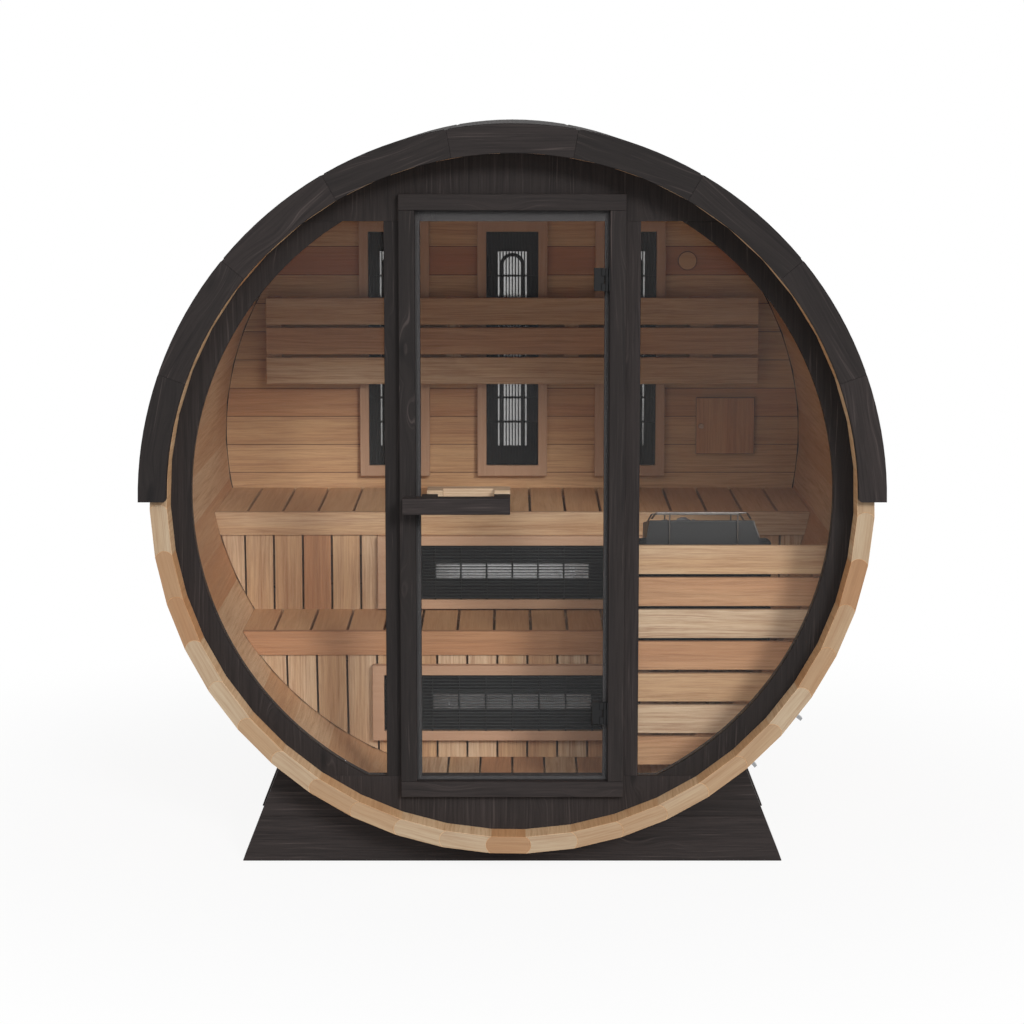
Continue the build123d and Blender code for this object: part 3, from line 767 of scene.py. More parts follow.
    def tube(self, name: str, points: Sequence[Point], radius: float) -> Piece:
        """Model a tube along points, and make it a mesh.

        Args:
            name: The piece's name.
            points: Where the tube's middle runs.
            radius: Its radius.

        Returns:
            The tube.
        """
        self.clear()
        line = bpy.data.curves.new(name, "CURVE")
        line.dimensions = "3D"
        line.bevel_depth = radius
        line.bevel_resolution = TUBE_STEPS
        line.use_fill_caps = True
        run = line.splines.new("POLY")
        run.points.add(len(points) - 1)
        for spot, place in zip(run.points, points):
            spot.co = (*place, 1)
        piece = bpy.data.objects.new(name, line)
        bpy.context.scene.collection.objects.link(piece)
        self.take(piece)
        bpy.ops.object.convert(target="MESH")
        return bpy.context.view_layer.objects.active


class Timber:
    """Marks each board of a piece with its tone and the run of its grain."""

    def islands(self, mesh: Mesh) -> np.ndarray:
        """Number the loose parts of a mesh.

        Args:
            mesh: The mesh.

        Returns:
            The number of its part for each vertex.
        """
        parent = list(range(len(mesh.vertices)))

        def head(vertex: int) -> int:
            """Find the vertex that stands for a part.

            Args:
                vertex: A vertex of the part.

            Returns:
                The vertex that stands for it.
            """
            while parent[vertex] != vertex:
                parent[vertex] = parent[parent[vertex]]
                vertex = parent[vertex]
            return vertex

        for edge in mesh.edges:
            one, two = head(edge.vertices[0]), head(edge.vertices[1])
            if one != two:
                parent[two] = one
        heads = [head(vertex) for vertex in range(len(parent))]
        return np.unique(heads, return_inverse=True)[1]

    def corners(self, mesh: Mesh) -> tuple[np.ndarray, np.ndarray, list[np.ndarray]]:
        """Measure the loose parts of a mesh.

        Args:
            mesh: The mesh.

        Returns:
            Each vertex's place, each vertex's part, and each part's lowest and highest corner.
        """
        places = np.array([vertex.co for vertex in mesh.vertices])
        parts = self.islands(mesh)
        groups = [places[parts == part] for part in range(parts.max() + 1)]
        return places, parts, [np.array([group.min(0), group.max(0)]) for group in groups]

    def run(self, grain: Grain, middle: np.ndarray) -> np.ndarray:
        """Give a board's three directions: along its grain, across it and through it.

        Args:
            grain: Which way the grain runs.
            middle: The board's middle.

        Returns:
            The three directions as rows.
        """
        out = np.array([middle[0], 0, middle[2] - AXIS_HEIGHT])
        out = out / max(np.linalg.norm(out), 1e-6)
        round_way = np.array([out[2], 0, -out[0]])
        length = np.array([0.0, 1.0, 0.0])
        if grain is Grain.STAVE:
            return np.array([length, round_way, out])
        if grain is Grain.ROUND:
            return np.array([round_way, out, length])
        rows = {Grain.ACROSS: (0, 2, 1), Grain.ALONG: (1, 0, 2), Grain.UPRIGHT: (2, 0, 1)}
        return np.eye(3)[list(rows[grain])]

    def mark(self, piece: Piece, grain: Grain, tones: Sequence[float] = (), order: Point = RIGHT,
             spread: Span = (0.0, 1.0)) -> None:
        """Write the grain and the tone of each board on a piece.

        The sawn ends of the staves are streaked round the barrel.

        Args:
            piece: The piece.
            grain: Which way the grain runs.
            tones: The boards' tones from 0 to 1, in order; the rest are drawn by lot.
            order: The direction in which the boards are counted.
            spread: The lowest and the highest tone that is drawn.
        """
        mesh = piece.data
        lot = random.Random(zlib.crc32(piece.name.encode()))
        places, parts, boxes = self.corners(mesh)
        middles = np.array([(low + high) / 2 for low, high in boxes])
        loops = np.empty(len(mesh.loops), np.int32)
        mesh.loops.foreach_get("vertex_index", loops)
        ends = [abs(face.normal.y) > SAWN_FACE for face in mesh.polygons]
        sawn = np.repeat(ends, [face.loop_total for face in mesh.polygons])
        end_grain = Grain.ROUND if grain is Grain.STAVE else grain
        run = np.empty((len(loops), 3))
        tone = np.empty(len(loops))
        for rank, part in enumerate(np.argsort(middles @ np.array(order))):
            chosen = parts[loops] == part
            shift = np.array([lot.uniform(*span) for span in GRAIN_SHIFT])
            drawn = lot.uniform(*spread)
            tone[chosen] = tones[rank] if rank < len(tones) else drawn
            for way, faces in ((grain, chosen & ~sawn), (end_grain, chosen & sawn)):
                inside = places[loops[faces]] - middles[part]
                run[faces] = inside @ self.run(way, middles[part]).T + shift
        written = mesh.attributes.new("grain", "FLOAT_VECTOR", "CORNER")
        written.data.foreach_set("vector", run.astype(np.float32).ravel())
        for name, values in (("tone", tone), ("sawn", sawn)):
            written = mesh.attributes.new(name, "FLOAT", "CORNER")
            written.data.foreach_set("value", values.astype(np.float32))

    def boxes(self, node: str) -> list[Box]:
        """Find the corners of each solid of a CAD node.

        Args:
            node: The CAD node's name.

        Returns:
            The lowest and highest corner of each, from left to right and from the foot up.
        """
        copy = bench.from_node(node, node + "_measured")
        found = [(Vector(low), Vector(high)) for low, high in self.corners(copy.data)[2]]
        bpy.data.objects.remove(copy)
        return sorted(found, key=lambda box: (round(box[0].z, 3), round(box[0].x, 3)))


bench = Workbench()
timber = Timber()


@dataclass
class SubAssembly:
    """Pieces of the sauna that belong together."""

    made: list[str] = field(default_factory=list, init=False)

    def build(self) -> None:
        """Make the pieces, which each sub-assembly does for itself."""
        raise NotImplementedError(type(self).__name__)

    def dress(self, piece: Piece, finish: Finish, body: Body = Body.CABIN,
              nodes: Sequence[str] = ()) -> None:
        """Give a piece its finish and hang it on its body.

        Args:
            piece: The piece.
            finish: Its finish.
            body: What it moves with.
            nodes: The CAD nodes that it stands for.
        """
        piece.data.materials.clear()
        piece.data.materials.append(finish.material())
        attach(piece, body.value)
        if nodes:
            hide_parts(*nodes)
        self.made.append(piece.name)

    def boards(self, node: str, grain: Grain, finish: Finish, ease: float, body: Body = Body.CABIN,
               tones: Sequence[float] = (), order: Point = RIGHT) -> None:
        """Make the boards of a CAD node with rounded edges, and mark and dress them.

        Args:
            node: The CAD node.
            grain: Which way the grain runs.
            finish: The boards' finish.
            ease: How wide the rounding of the edges is.
            body: What the boards move with.
            tones: The boards' tones, in order.
            order: The direction in which they are counted.
        """
        piece = bench.from_node(node, node + "_wood")
        bench.ease(piece, ease)
        timber.mark(piece, grain, tones, order)
        bench.smooth(piece)
        self.dress(piece, finish, body, [node])

    def coat(self, node: str, finish: Finish, ease: float = 0.0, angle: float = FLAT_CORNER,
             body: Body = Body.CABIN) -> None:
        """Make a CAD node's metal or glass with rounded edges and dress it.

        Args:
            node: The CAD node.
            finish: Its finish.
            ease: How wide the rounding of its edges is.
            angle: Corners sharper than this many degrees stay sharp.
            body: What it moves with.
        """
        piece = bench.from_node(node, node + "_metal")
        if ease:
            bench.ease(piece, ease, METAL_EDGE)
        bench.smooth(piece, angle)
        self.dress(piece, finish, body, [node])


@dataclass
class Barrel(SubAssembly):
    """The staves, their hoops and the cradles that carry them."""

    stave_ease: float = 0.0022
    cradle_ease: float = 0.0025
    tightener_ease: float = 0.001
    tones: Mapping[str, tuple[float, ...]] = field(default_factory=lambda: {
        "floor_staves": (0.1, 0.6, 0.55, 0.15, 0.12, 0.85, 0.1, 0.5, 0.5, 0.25, 0.5),
        "left_wall_staves": (0.5, 0.1, 0.12, 0.95, 0.75, 0.15, 0.5, 0.3),
        "right_wall_staves": (0.5, 0.1, 0.7, 0.5, 0.95, 0.2, 0.5, 0.3),
        "roof_staves": (0.3,)})

    def build(self) -> None:
        """Make the staves, the cradles and the hoops."""
        for node, tones in self.tones.items():
            order = UP if "wall" in node else RIGHT
            self.boards(node, Grain.STAVE, STAVES, self.stave_ease, tones=tones, order=order)
        for node in ("cradle_foot_boards", "cradle_shoulders"):
            self.boards(node, Grain.ACROSS, STAINED, self.cradle_ease)
        self.coat("steel_hoops", HOOP_STEEL)
        self.coat("hoop_tighteners", HOOP_STEEL, self.tightener_ease)


@dataclass
class RoofCover(SubAssembly):
    """The boarded roof panels over the barrel and the arched fascias at its ends."""

    board_count: int = 36
    board_ease: float = 0.002
    fascia_ease: float = 0.0007

    def build(self) -> None:
        """Cut the panels into boards, and make the fascias."""
        whole = bench.from_node("roof_panels", "roof_whole")
        step = math.pi / self.board_count
        axis = Vector((0, 0, AXIS_HEIGHT))
        boards = []
        for place in range(self.board_count):
            start = place * step - math.pi / 2
            ways = [Vector((math.cos(angle), 0, -math.sin(angle))) for angle in (start, start + step)]
            boards.append(bench.slice(whole, "roof_board", *[(axis, way) for way in ways]))
        bpy.data.objects.remove(whole)
        roof = bench.join(boards, "roof_boards")
        bench.ease(roof, self.board_ease)
        timber.mark(roof, Grain.STAVE)
        bench.smooth(roof)
        self.dress(roof, STAINED, nodes=["roof_panels"])
        for node in ("front_fascia", "rear_fascia"):
            self.boards(node, Grain.ROUND, STAINED, self.fascia_ease)


@dataclass
class FrontWall(SubAssembly):
    """The stained front wall with its two windows, and the bead that the door shuts against."""

    ease: float = 0.0012
    pane_ease: float = 0.001
    stop_depth: float = 0.0009
    stop_ease: float = 0.0003

    def stop(self) -> None:
        """Lay a thin bead round the doorway, between the opening and the door's frame."""
        left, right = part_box("door_frame_left_stile")[1].x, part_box("door_frame_right_stile")[0].x
        foot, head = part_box("door_frame_sill")[1].z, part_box("door_frame_head")[0].z
        low_x, high_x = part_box("front_wall_left_post")[1].x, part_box("front_wall_right_post")[0].x
        low_z, high_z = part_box("front_wall_sill")[1].z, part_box("front_wall_header")[0].z
        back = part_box("front_wall_header")[0].y
        front = back - self.stop_depth
        strips = (((left, front, low_z), (low_x, back, high_z)),
                  ((high_x, front, low_z), (right, back, high_z)),
                  ((left, front, foot), (right, back, low_z)),
                  ((left, front, high_z), (right, back, head)))
        beads = [bench.block("bead", low, high, self.stop_ease) for low, high in strips]
        piece = bench.join(beads, "door_stop_bead")
        timber.mark(piece, Grain.UPRIGHT)
        bench.smooth(piece)
        self.dress(piece, STOP_WOOD)

    def build(self) -> None:
        """Make the wall's boards and the bead, and finish the windows."""
        for part in ("header", "sill", "left_post", "right_post", "left_rim", "right_rim"):
            self.boards("front_wall_" + part, Grain.UPRIGHT, STAINED, self.ease)
        for side in ("left", "right"):
            self.coat(side + "_window", WINDOW_GLASS, self.pane_ease)
        self.stop()


@dataclass
class GlassDoor(SubAssembly):
    """The door's frame, its glass, its hinges and its handles."""

    ease: float = 0.002
    pane_ease: float = 0.001
    leaf_ease: float = 0.0005
    clamp_ease: float = 0.0008
    handle_tones: tuple[float, ...] = (0.0,)

    def build(self) -> None:
        """Make the frame, the handles and the metal, and finish the glass."""
        for part in ("head", "sill"):
            self.boards("door_frame_" + part, Grain.ACROSS, STAINED, self.ease)
        for part in ("left_stile", "right_stile"):
            self.boards("door_frame_" + part, Grain.UPRIGHT, STAINED, self.ease)
        self.coat("door_glass", DOOR_GLASS, self.pane_ease, body=Body.DOOR)
        self.boards("outer_handle", Grain.ACROSS, STAINED, self.ease, Body.DOOR)
        self.boards("inner_handle", Grain.ACROSS, BENCH_BOARDS, self.ease, Body.DOOR, self.handle_tones)
        self.coat("hinge_leaves", BLACK_STEEL, self.leaf_ease)
        self.coat("hinge_clamps", BLACK_STEEL, self.clamp_ease, body=Body.DOOR)


@dataclass
class BackWall(SubAssembly):
    """The level boards of the back wall, with its vents, and the backrest before it."""

    pitch: float = 0.0984
    first_joint: float = 0.1966
    groove: float = 0.0025
    groove_edge: float = 40.0
    tones: tuple[float, ...] = (0.3, 0.5, 0.2, 0.6, 0.3, 0.45, 0.2, 0.35, 0.15, 0.2, 0.3, 0.6, 0.3, 0.35,
                                0.25, 0.3, 0.95, 0.3, 0.25, 0.4, 0.3)
    vent_ease: float = 0.0025
    slide_tones: tuple[float, ...] = (0.55,)
    disc_tones: tuple[float, ...] = (0.4,)
    backrest_ease: float = 0.003
    backrest_tones: tuple[float, ...] = (0.25, 0.6, 0.3)
    batten_ease: float = 0.002
    # Where the ring of painted shade runs, how thick it is and how finely it is made.
    shade_ring_reach: float = 0.9985
    shade_ring_radius: float = 0.0025
    shade_ring_sides: int = 8
    shade_ring_steps: int = 192
    shade_ring_corner: float = 60.0
    knob_inset: float = 0.017
    knob_radius: float = 0.0086
    knob_length: float = 0.012
    knob_cover: float = 0.0006
    knob_sides: int = 20
    knob_tones: tuple[float, ...] = (0.0,)

    def wall(self) -> None:
        """Cut the wall into its level boards, with a groove at each joint."""
        whole = bench.from_node("back_wall", "back_wall_whole")
        low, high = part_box("back_wall")
        joints = [low.z - self.pitch]
        height = self.first_joint
        while height < high.z:
            joints.append(height)
            height += self.pitch
        joints.append(high.z + self.pitch)
        planes = [(Vector((0, 0, joint)), Vector(UP)) for joint in joints]
        boards = [bench.slice(whole, "back_wall_board", *pair) for pair in zip(planes, planes[1:])]
        bpy.data.objects.remove(whole)
        piece = bench.join(boards, "back_wall_boards")
        bench.ease(piece, self.groove, self.groove_edge)
        timber.mark(piece, Grain.ACROSS, self.tones, UP)
        bench.smooth(piece)
        self.dress(piece, WALL_BOARDS, nodes=["back_wall"])

    def shade_ring(self) -> None:
        """Lay a dark ring where the wall meets the staves: painted shade that stands for the shadow in that
        gap.
        """
        bench.clear()
        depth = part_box("back_wall")[0].y - self.shade_ring_radius / 2
        bpy.ops.mesh.primitive_circle_add(vertices=self.shade_ring_sides, radius=self.shade_ring_radius,
                                          location=(self.shade_ring_reach, depth, AXIS_HEIGHT))
        piece = bench.added("back_wall_seal")
        bench.settle(piece)
        bench.edit(piece, "EDGE")
        axis = {"center": (0, 0, AXIS_HEIGHT), "axis": (0, 1, 0)}
        bpy.ops.mesh.spin(steps=self.shade_ring_steps, angle=2 * math.pi, **axis)
        bpy.ops.mesh.select_all(action="SELECT")
        bpy.ops.mesh.remove_doubles(threshold=MERGE)
        bench.turn_out()
        bench.close()
        bench.smooth(piece, self.shade_ring_corner)
        self.dress(piece, SHADE_RING_BLACK)

    def knob(self) -> None:
        """Cover the small knob that the vent's slide is pulled by with paler wood."""
        low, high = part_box("vent_slide")
        end = Vector((low.x + self.knob_inset, low.y - self.knob_cover, (low.z + high.z) / 2))
        start = end + Vector((0, self.knob_length + self.knob_cover, 0))
        piece = bench.bar("vent_knob", start, end, self.knob_radius, self.knob_sides, self.knob_cover)
        timber.mark(piece, Grain.ACROSS, self.knob_tones)
        bench.smooth(piece)
        self.dress(piece, BENCH_BOARDS)

    def build(self) -> None:
        """Make the wall, the dark ring of painted shade round it, the vents and the backrest."""
        self.wall()
        self.shade_ring()
        self.boards("vent_slide", Grain.UPRIGHT, VENT_WOOD, self.vent_ease, tones=self.slide_tones)
        self.knob()
        self.boards("vent_disc", Grain.ACROSS, VENT_WOOD, self.vent_ease, tones=self.disc_tones)
        self.boards("backrest_boards", Grain.ACROSS, BENCH_BOARDS, self.backrest_ease,
                    tones=self.backrest_tones, order=UP)
        self.boards("backrest_battens", Grain.UPRIGHT, BENCH_BOARDS, self.batten_ease)


@dataclass
class Benches(SubAssembly):
    """The two benches, with their skirts and rails, and the floor grid."""

    slat_ease: float = 0.0012
    skirt_ease: float = 0.0015
    skirt_reach: float = 0.9955
    skirt_spread: Span = (0.05, 0.7)
    skirt_tones: Mapping[str, tuple[float, ...]] = field(default_factory=lambda: {
        "upper_bench": (0.15, 0.3, 0.4, 0.9, 0.3, 0.15),
        "lower_bench": (0.15, 0.2, 0.3, 0.15)})
    fascia_tones: Mapping[str, tuple[float, ...]] = field(default_factory=lambda: {
        "upper_bench": (0.25,),
        "lower_bench": (0.95,)})

    def skirt(self, name: str) -> None:
        """Make a bench's skirt, whose ends stand a little clear of the barrel.

        Args:
            name: The bench's name.
        """
        node = name + "_skirt"
        piece = bench.from_node(node, node + "_wood")
        for vertex in piece.data.vertices:
            half = math.sqrt(self.skirt_reach ** 2 - (vertex.co.z - AXIS_HEIGHT) ** 2)
            vertex.co.x = max(-half, min(half, vertex.co.x))
        bench.ease(piece, self.skirt_ease)
        timber.mark(piece, Grain.UPRIGHT, self.skirt_tones[name], spread=self.skirt_spread)
        bench.smooth(piece)
        self.dress(piece, BENCH_BOARDS, nodes=[node])

    def build(self) -> None:
        """Make the benches and the floor."""
        for name, tones in self.fascia_tones.items():
            self.boards(name + "_slats", Grain.ALONG, LIT_SLAT_BOARDS, self.slat_ease)
            self.boards(name + "_fascia", Grain.ACROSS, BENCH_BOARDS, self.slat_ease, tones=tones)
            self.boards(name + "_rails", Grain.ACROSS, BENCH_BOARDS, self.skirt_ease)
            self.skirt(name)
        self.boards("floor_slats", Grain.ALONG, BENCH_BOARDS, self.slat_ease)
        self.boards("floor_bearers", Grain.ACROSS, BENCH_BOARDS, self.skirt_ease)


@dataclass
class InfraredPanels(SubAssembly):
    """The trays with their heating plates: a reflector, a bent tube and a wire guard before it."""

    tray_ease: float = 0.0015
    plate_ease: float = 0.0005
    reflector_half: float = 0.0497
    reflector_inset: float = 0.068
    bench_reach: float = 0.2535
    bench_band: Span = (-0.031, 0.021)
    bench_bend: float = 0.31
    trough_radius: float = 1.2
    sheet: float = 0.0004
    sheet_steps: int = 24
    sheet_gap: float = 0.0008
    tube_radius: float = 0.0059
    tube_half: float = 0.0367
    tube_depth: float = 0.0095
    arch_inset: float = 0.048
    arch_steps: int = 16
    wire_sides: int = 6
    wire_pitch: float = 0.01046
    wire_radius: float = 0.002
    wire_depth: float = 0.0175
    cross_pitch: float = 0.0845
    cross_count: int = 7
    cross_radius: float = 0.003
    cross_depth: float = 0.0135

    def reflector(self, name: str, reach: float, band: Span) -> Piece:
        """Model a plate's reflector, standing, with the middle of the plate's face at the origin.

        Args:
            name: A start for the piece's name.
            reach: Half the reflector's length.
            band: Where it begins and ends across.

        Returns:
            The reflector.
        """
        bench.clear()
        bpy.ops.mesh.primitive_grid_add(x_subdivisions=self.sheet_steps, y_subdivisions=2, size=2)
        piece = bench.added(name + "_reflector")
        for vertex in piece.data.vertices:
            x = band[0] + (vertex.co.x + 1) / 2 * (band[1] - band[0])
            rise = self.trough_radius - math.sqrt(self.trough_radius ** 2 - x ** 2)
            vertex.co = (x, -self.sheet_gap - rise, vertex.co.y * reach)
        bench.edit(piece)
        bench.turn_out()
        bench.close()
        solid = piece.modifiers.new("sheet", "SOLIDIFY")
        solid.thickness = self.sheet
        solid.offset = 0
        bench.take(piece)
        bpy.ops.object.modifier_apply(modifier="sheet")
        return piece

    def tube(self, name: str, reach: float, bend: float) -> Piece:
        """Model the bent tube before a reflector.

        Args:
            name: A start for the piece's name.
            reach: How far down its ends go.
            bend: Where its bend begins.

        Returns:
            The tube.
        """
        points = [(self.tube_half, -self.tube_depth, -reach)]
        for step in range(self.arch_steps + 1):
            angle = math.pi * step / self.arch_steps
            x, z = self.tube_half * math.cos(angle), bend + self.tube_half * math.sin(angle)
            points.append((x, -self.tube_depth, z))
        points.append((-self.tube_half, -self.tube_depth, -reach))
        return bench.tube(name + "_tube", points, self.tube_radius)

    def wires(self, name: str, half_width: float, half_length: float) -> Piece:
        """Model the wire guard before a tube: the long wires, and the cross wires behind them.

        Args:
            name: A start for the piece's name.
            half_width: Half the plate's width.
            half_length: Half the plate's length.

        Returns:
            The guard.
        """
        wires = []
        count = int(half_width / self.wire_pitch)
        for place in range(-count, count + 1):
            x = place * self.wire_pitch
            ends = [(x, -self.wire_depth, z) for z in (-half_length, half_length)]
            wires.append(bench.bar("wire", *ends, self.wire_radius, self.wire_sides))
        for place in range(self.cross_count):
            z = (place - (self.cross_count - 1) / 2) * self.cross_pitch
            ends = [(x, -self.cross_depth, z) for x in (-half_width, half_width)]
            wires.append(bench.bar("wire", *ends, self.cross_radius, self.wire_sides))
        return bench.join(wires, name + "_wires")

    def fit(self, first: Piece, boxes: Sequence[Box], upright: bool, finish: Finish) -> None:
        """Copy a fitting onto each plate and dress it.

        Args:
            first: The fitting as it was modelled, which goes.
            boxes: The lowest and highest corner of each plate.
            upright: Whether the plates stand.
            finish: The fitting's finish.
        """
        name = first.name
        copies = []
        for low, high in boxes:
            copy = bench.twin(first, name + "_copy")
            if not upright:
                copy.data.transform(Matrix.Rotation(math.pi / 2, 4, "Y"))
            middle = (low + high) / 2
            copy.data.transform(Matrix.Translation((middle.x, low.y, middle.z)))
            copies.append(copy)
        bpy.data.objects.remove(first)
        piece = bench.join(copies, name)
        bench.smooth(piece, ROUND_CORNER)
        self.dress(piece, finish)

    def build(self) -> None:
        """Make the trays and the plates, and fit each plate out."""
        for group, upright, mirror in (("rear", True, REAR_MIRROR), ("bench", False, BENCH_MIRROR)):
            name = group + "_infrared"
            grain = Grain.UPRIGHT if upright else Grain.ACROSS
            self.boards(name + "_trays", grain, TRAY_WOOD, self.tray_ease)
            self.coat(name + "_plates", PLATE_BLACK, self.plate_ease)
            boxes = timber.boxes(name + "_plates")
            low, high = boxes[0]
            half_width, half_length = sorted(((high.x - low.x) / 2, (high.z - low.z) / 2))
            reach, band, bend = self.bench_reach, self.bench_band, self.bench_bend
            if upright:
                reach = half_length - self.reflector_inset
                band = (-self.reflector_half, self.reflector_half)
                bend = reach - self.arch_inset
            self.fit(self.reflector(name, reach, band), boxes, upright, mirror)
            self.fit(self.tube(name, reach, bend), boxes, upright, WIRE_BLACK)
            self.fit(self.wires(name, half_width, half_length), boxes, upright, WIRE_BLACK)


@dataclass
class HeaterCorner(SubAssembly):
    """The heater with its stones and rails, behind the guard of level boards."""

    guard_ease: float = 0.002
    guard_tones: tuple[float, ...] = (0.55, 0.0, 0.35, 0.75, 0.0, 0.72, 0.2)
    bracket_ease: float = 0.001
    stone_seed: int = 7
    stone_radius: float = 0.024
    stone_rows: tuple[int, int] = (8, 6)
    stone_layers: int = 2
    stone_dent: float = 0.3
    stone_stretch: tuple[Span, Span, Span] = ((0.8, 1.2), (0.75, 1.1), (0.6, 0.95))
    stone_turn: float = 6.28
    stone_stray: float = 0.006
    stone_sink: float = 0.006
    stone_corner: float = 50.0
    layer_drop: float = 0.034
    heap_drop: float = 0.004
    top_fall: float = 0.0445
    mound_place: Span = (0.52, -0.37)
    mound_reach: Span = (0.07, 0.06)
    mound_height: float = 0.018
    case_ease: float = 0.004
    case_back: float = 0.01
    shoulder: Span = (0.05, 0.08)
    shoulder_fall: float = 0.07
    hood_half: float = 0.172
    strip_radius: float = 0.0028
    strip_proud: float = 0.4
    strip_run: tuple[Span, ...] = ((0.037, 0.054), (0.0555, 0.001))

    def heap_height(self, x: float, y: float) -> float:
        """How high the stones reach at a place in the tray.

        Args:
            x: The place across.
            y: The place from front to back.

        Returns:
            The height above the ground.
        """
        low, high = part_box("heater_case")
        rim = high.z - self.top_fall * (y - low.y) / (high.y - low.y)
        far = sum(((value - middle) / reach) ** 2
                  for value, middle, reach in zip((x, y), self.mound_place, self.mound_reach))
        return rim - self.heap_drop + self.mound_height * math.exp(-far)

    def stone(self, lot: random.Random) -> Piece:
        """Model one stone: a ball that is dented, stretched and turned.

        Args:
            lot: What its shape is drawn by.

        Returns:
            The stone.
        """
        bench.clear()
        bpy.ops.mesh.primitive_ico_sphere_add(subdivisions=2, radius=self.stone_radius)
        piece = bench.added("stone")
        bench.edit(piece, "VERT")
        dent = self.stone_radius * self.stone_dent
        bpy.ops.transform.vertex_random(offset=dent, seed=lot.randrange(1, 9999))
        bench.close()
        piece.scale = [lot.uniform(*span) for span in self.stone_stretch]
        piece.rotation_euler = [lot.uniform(0, self.stone_turn) for _ in range(3)]
        bpy.context.view_layer.update()
        bench.settle(piece)
        return piece

    def stones(self) -> None:
        """Heap the stones in the heater's tray."""
        low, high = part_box("heater_stones")
        lot = random.Random(self.stone_seed)
        heap = []
        for layer, *cell in itertools.product(range(self.stone_layers), *map(range, self.stone_rows)):
            stone = self.stone(lot)
            place = []
            for axis, (number, count) in enumerate(zip(cell, self.stone_rows)):
                room = high[axis] - low[axis] - 2 * self.stone_radius
                spot = low[axis] + self.stone_radius + (number + 0.5) / count * room
                place.append(spot + lot.uniform(-self.stone_stray, self.stone_stray))
            sink = layer * self.layer_drop + abs(lot.gauss(0, self.stone_sink))
            top = self.heap_height(*place) - sink
            crown = max(vertex.co.z for vertex in stone.data.vertices)
            stone.data.transform(Matrix.Translation((*place, top - crown)))
            heap.append(stone)
        piece = bench.join(heap, "heater_stone_heap")
        bench.smooth(piece, self.stone_corner)
        self.dress(piece, ROCK, nodes=["heater_stones"])

    def case(self) -> None:
        """Make the case, with shoulders that fall to the back and are black beside the hood as painted
        shade.
        """
        low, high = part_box("heater_case")
        middle = (low.x + high.x) / 2
        piece = bench.from_node("heater_case", "heater_case_metal")
        for vertex in piece.data.vertices:
            drop = high.z - vertex.co.z
            if vertex.co.y > high.y - self.case_back and self.shoulder[0] < drop < self.shoulder[1]:
                vertex.co.z -= self.shoulder_fall
        for side in (-1, 1):
            bench.edit(piece)
            bpy.ops.mesh.bisect(plane_co=(middle + side * self.hood_half, 0, 0), plane_no=RIGHT)
            bench.close()
        bench.ease(piece, self.case_ease, METAL_EDGE)
        bench.smooth(piece)
        self.dress(piece, PAINT, nodes=["heater_case"])
        # The shoulders beside the hood get black steel: painted shade for their dark look there.
        piece.data.materials.append(BLACK_STEEL.material())
        for face in piece.data.polygons:
            beside = abs(face.center.x - middle) > self.hood_half
            face.material_index = int(beside and high.z - face.center.z > self.shoulder[0])

    def strip(self) -> None:
        """Make the bright strip on the right edge of the hood."""
        low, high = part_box("heater_case")
        depth = low.y - self.strip_radius * self.strip_proud
        run = [(high.x - inset, depth, high.z - drop) for inset, drop in self.strip_run]
        piece = bench.tube("heater_hood_strip", run, self.strip_radius)
        bench.smooth(piece, ROUND_CORNER)
        self.dress(piece, BRIGHT_STEEL)

    def build(self) -> None:
        """Make the guard, the heater and what is on it."""
        self.boards("heater_guard_boards", Grain.ACROSS, BENCH_BOARDS, self.guard_ease,
                    tones=self.guard_tones, order=UP)
        self.boards("heater_guard_uprights", Grain.UPRIGHT, BENCH_BOARDS, self.guard_ease)
        self.case()
        self.coat("heater_rail", BRIGHT_STEEL, angle=ROUND_CORNER)
        self.coat("heater_brackets", BLACK_STEEL, self.bracket_ease)
        self.stones()
        self.strip()


@dataclass(frozen=True)
class Lamp:
    """A soft lamp far away: where its light goes, how strong it is and how many degrees it spans."""

    name: str
    way: Point
    strength: float
    spread: float

    def hang(self) -> None:
        """Put the lamp into the scene."""
        data = bpy.data.lights.new(self.name, "SUN")
        data.energy = self.strength
        data.angle = math.radians(self.spread)
        lamp = bpy.data.objects.new(self.name, data)
        lamp.rotation_euler = Vector(self.way).to_track_quat("-Z", "Y").to_euler()
        bpy.context.scene.collection.objects.link(lamp)


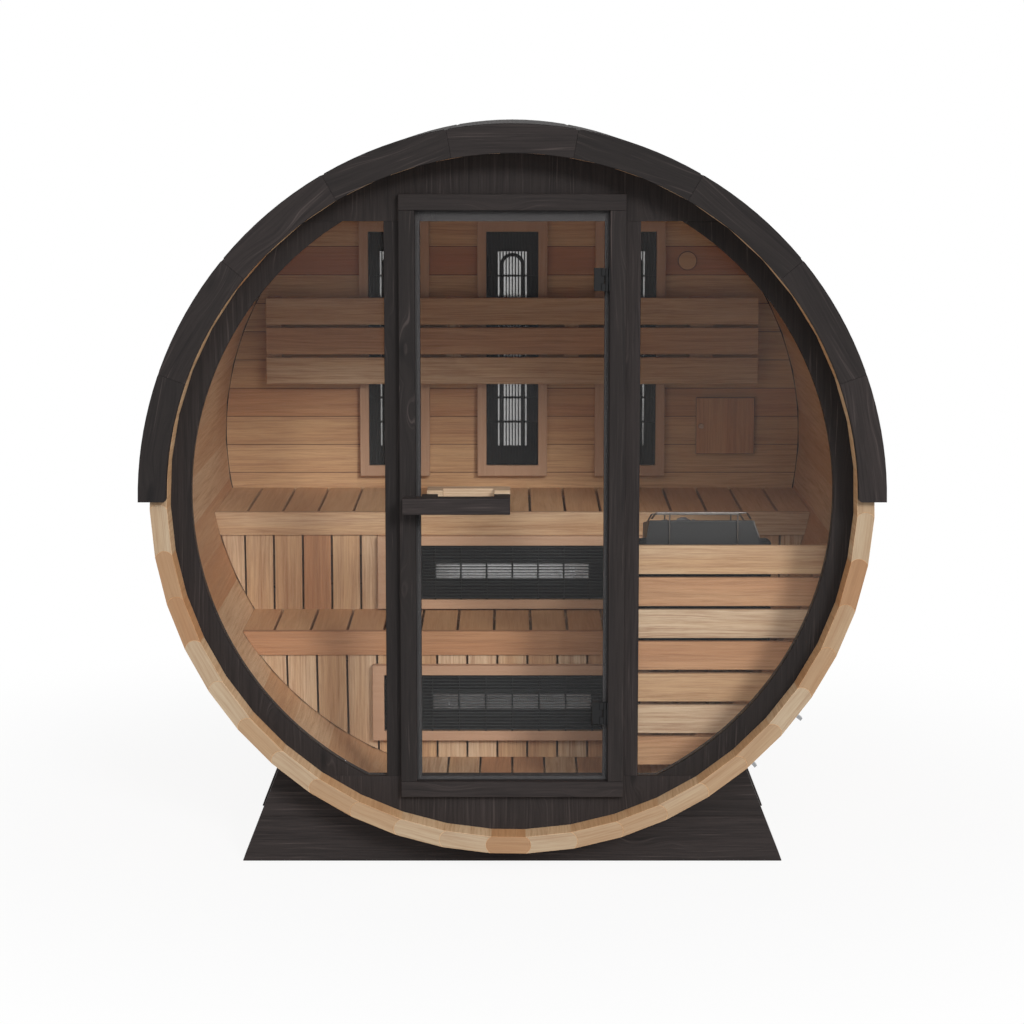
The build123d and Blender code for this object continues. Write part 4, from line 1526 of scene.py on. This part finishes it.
@dataclass
class Studio:
    """The pale floor, the soft light and the camera at the photograph's place."""

    camera_place: Point = (0.0, -8.9201, 2.2617)
    camera_pitch: float = 81.688
    lens: float = 98.45
    sensor: float = 36.0
    shift: float = -0.0003
    sight: float = 200.0
    lamps: tuple[Lamp, ...] = (
        Lamp("key_lamp", (-0.4, 1.0, -0.445), 1.6, 13.0),
        Lamp("front_lamp", (0.0, 1.0, -0.62), 0.65, 24.0),
        Lamp("right_lamp", (-0.8, 1.0, -0.4), 0.35, 50.0),
        Lamp("left_lamp", (1.2, 1.0, -0.4), 0.3, 50.0))
    room_strength: float = 0.35
    floor_half: float = 30.0
    floor_grey: float = 0.86
    floor_white: float = 0.9
    shadow_reach: Span = (1.2, 3.0)

    def camera(self) -> None:
        """Set the camera up."""
        data = bpy.data.cameras.new("camera")
        data.lens = self.lens
        data.sensor_width = self.sensor
        data.shift_x = self.shift
        data.clip_end = self.sight
        camera = bpy.data.objects.new("camera", data)
        camera.location = self.camera_place
        camera.rotation_euler = (math.radians(self.camera_pitch), 0, 0)
        bpy.context.scene.collection.objects.link(camera)
        bpy.context.scene.camera = camera

    def room(self) -> None:
        """Light the room evenly, and show it white to the camera, to glass and to metal."""
        world = bpy.data.worlds.new("studio")
        recipe = Recipe(world)
        strength = recipe.seen() * (1 - self.room_strength) + self.room_strength
        shade = recipe.node("ShaderNodeBackground", None, {"Color": WHITE, "Strength": strength})
        recipe.finish(shade, "ShaderNodeOutputWorld")
        bpy.context.scene.world = world

    def floor(self) -> None:
        """Lay a pale floor that keeps the shadow near the object and is white further off."""
        bench.clear()
        bpy.ops.mesh.primitive_plane_add(size=2 * self.floor_half)
        floor = bench.added("studio_floor")
        material = bpy.data.materials.new("studio_floor")
        recipe = Recipe(material)
        x, y, _ = recipe.split(recipe.place())
        away = (x * x + y * y).root().rise(*self.shadow_reach)
        share = recipe.seen() * (away * (1 - self.floor_white) + self.floor_white)
        grey = (self.floor_grey, self.floor_grey, self.floor_grey, 1)
        matt = recipe.node("ShaderNodeBsdfDiffuse", None, {"Color": grey})
        white = recipe.node("ShaderNodeEmission", None, {"Color": WHITE, "Strength": 1.0})
        recipe.finish(recipe.node("ShaderNodeMixShader", None, {0: share, 1: matt, 2: white}))
        floor.data.materials.append(material)

    def build(self) -> None:
        """Set the whole studio up."""
        bpy.context.scene.view_settings.view_transform = "Standard"
        self.camera()
        for lamp in self.lamps:
            lamp.hang()
        self.room()
        self.floor()


def main() -> None:
    """Build the studio and the sub-assemblies in order, and report each piece."""
    logging.basicConfig(level=logging.INFO, format="%(message)s")
    Studio().build()
    kinds = (Barrel, RoofCover, FrontWall, GlassDoor, BackWall, Benches, InfraredPanels, HeaterCorner)
    for kind in kinds:
        part = kind()
        part.build()
        for name in part.made:
            log.info("%s: %s", kind.__name__, name)


if __name__ == "__main__":
    main()
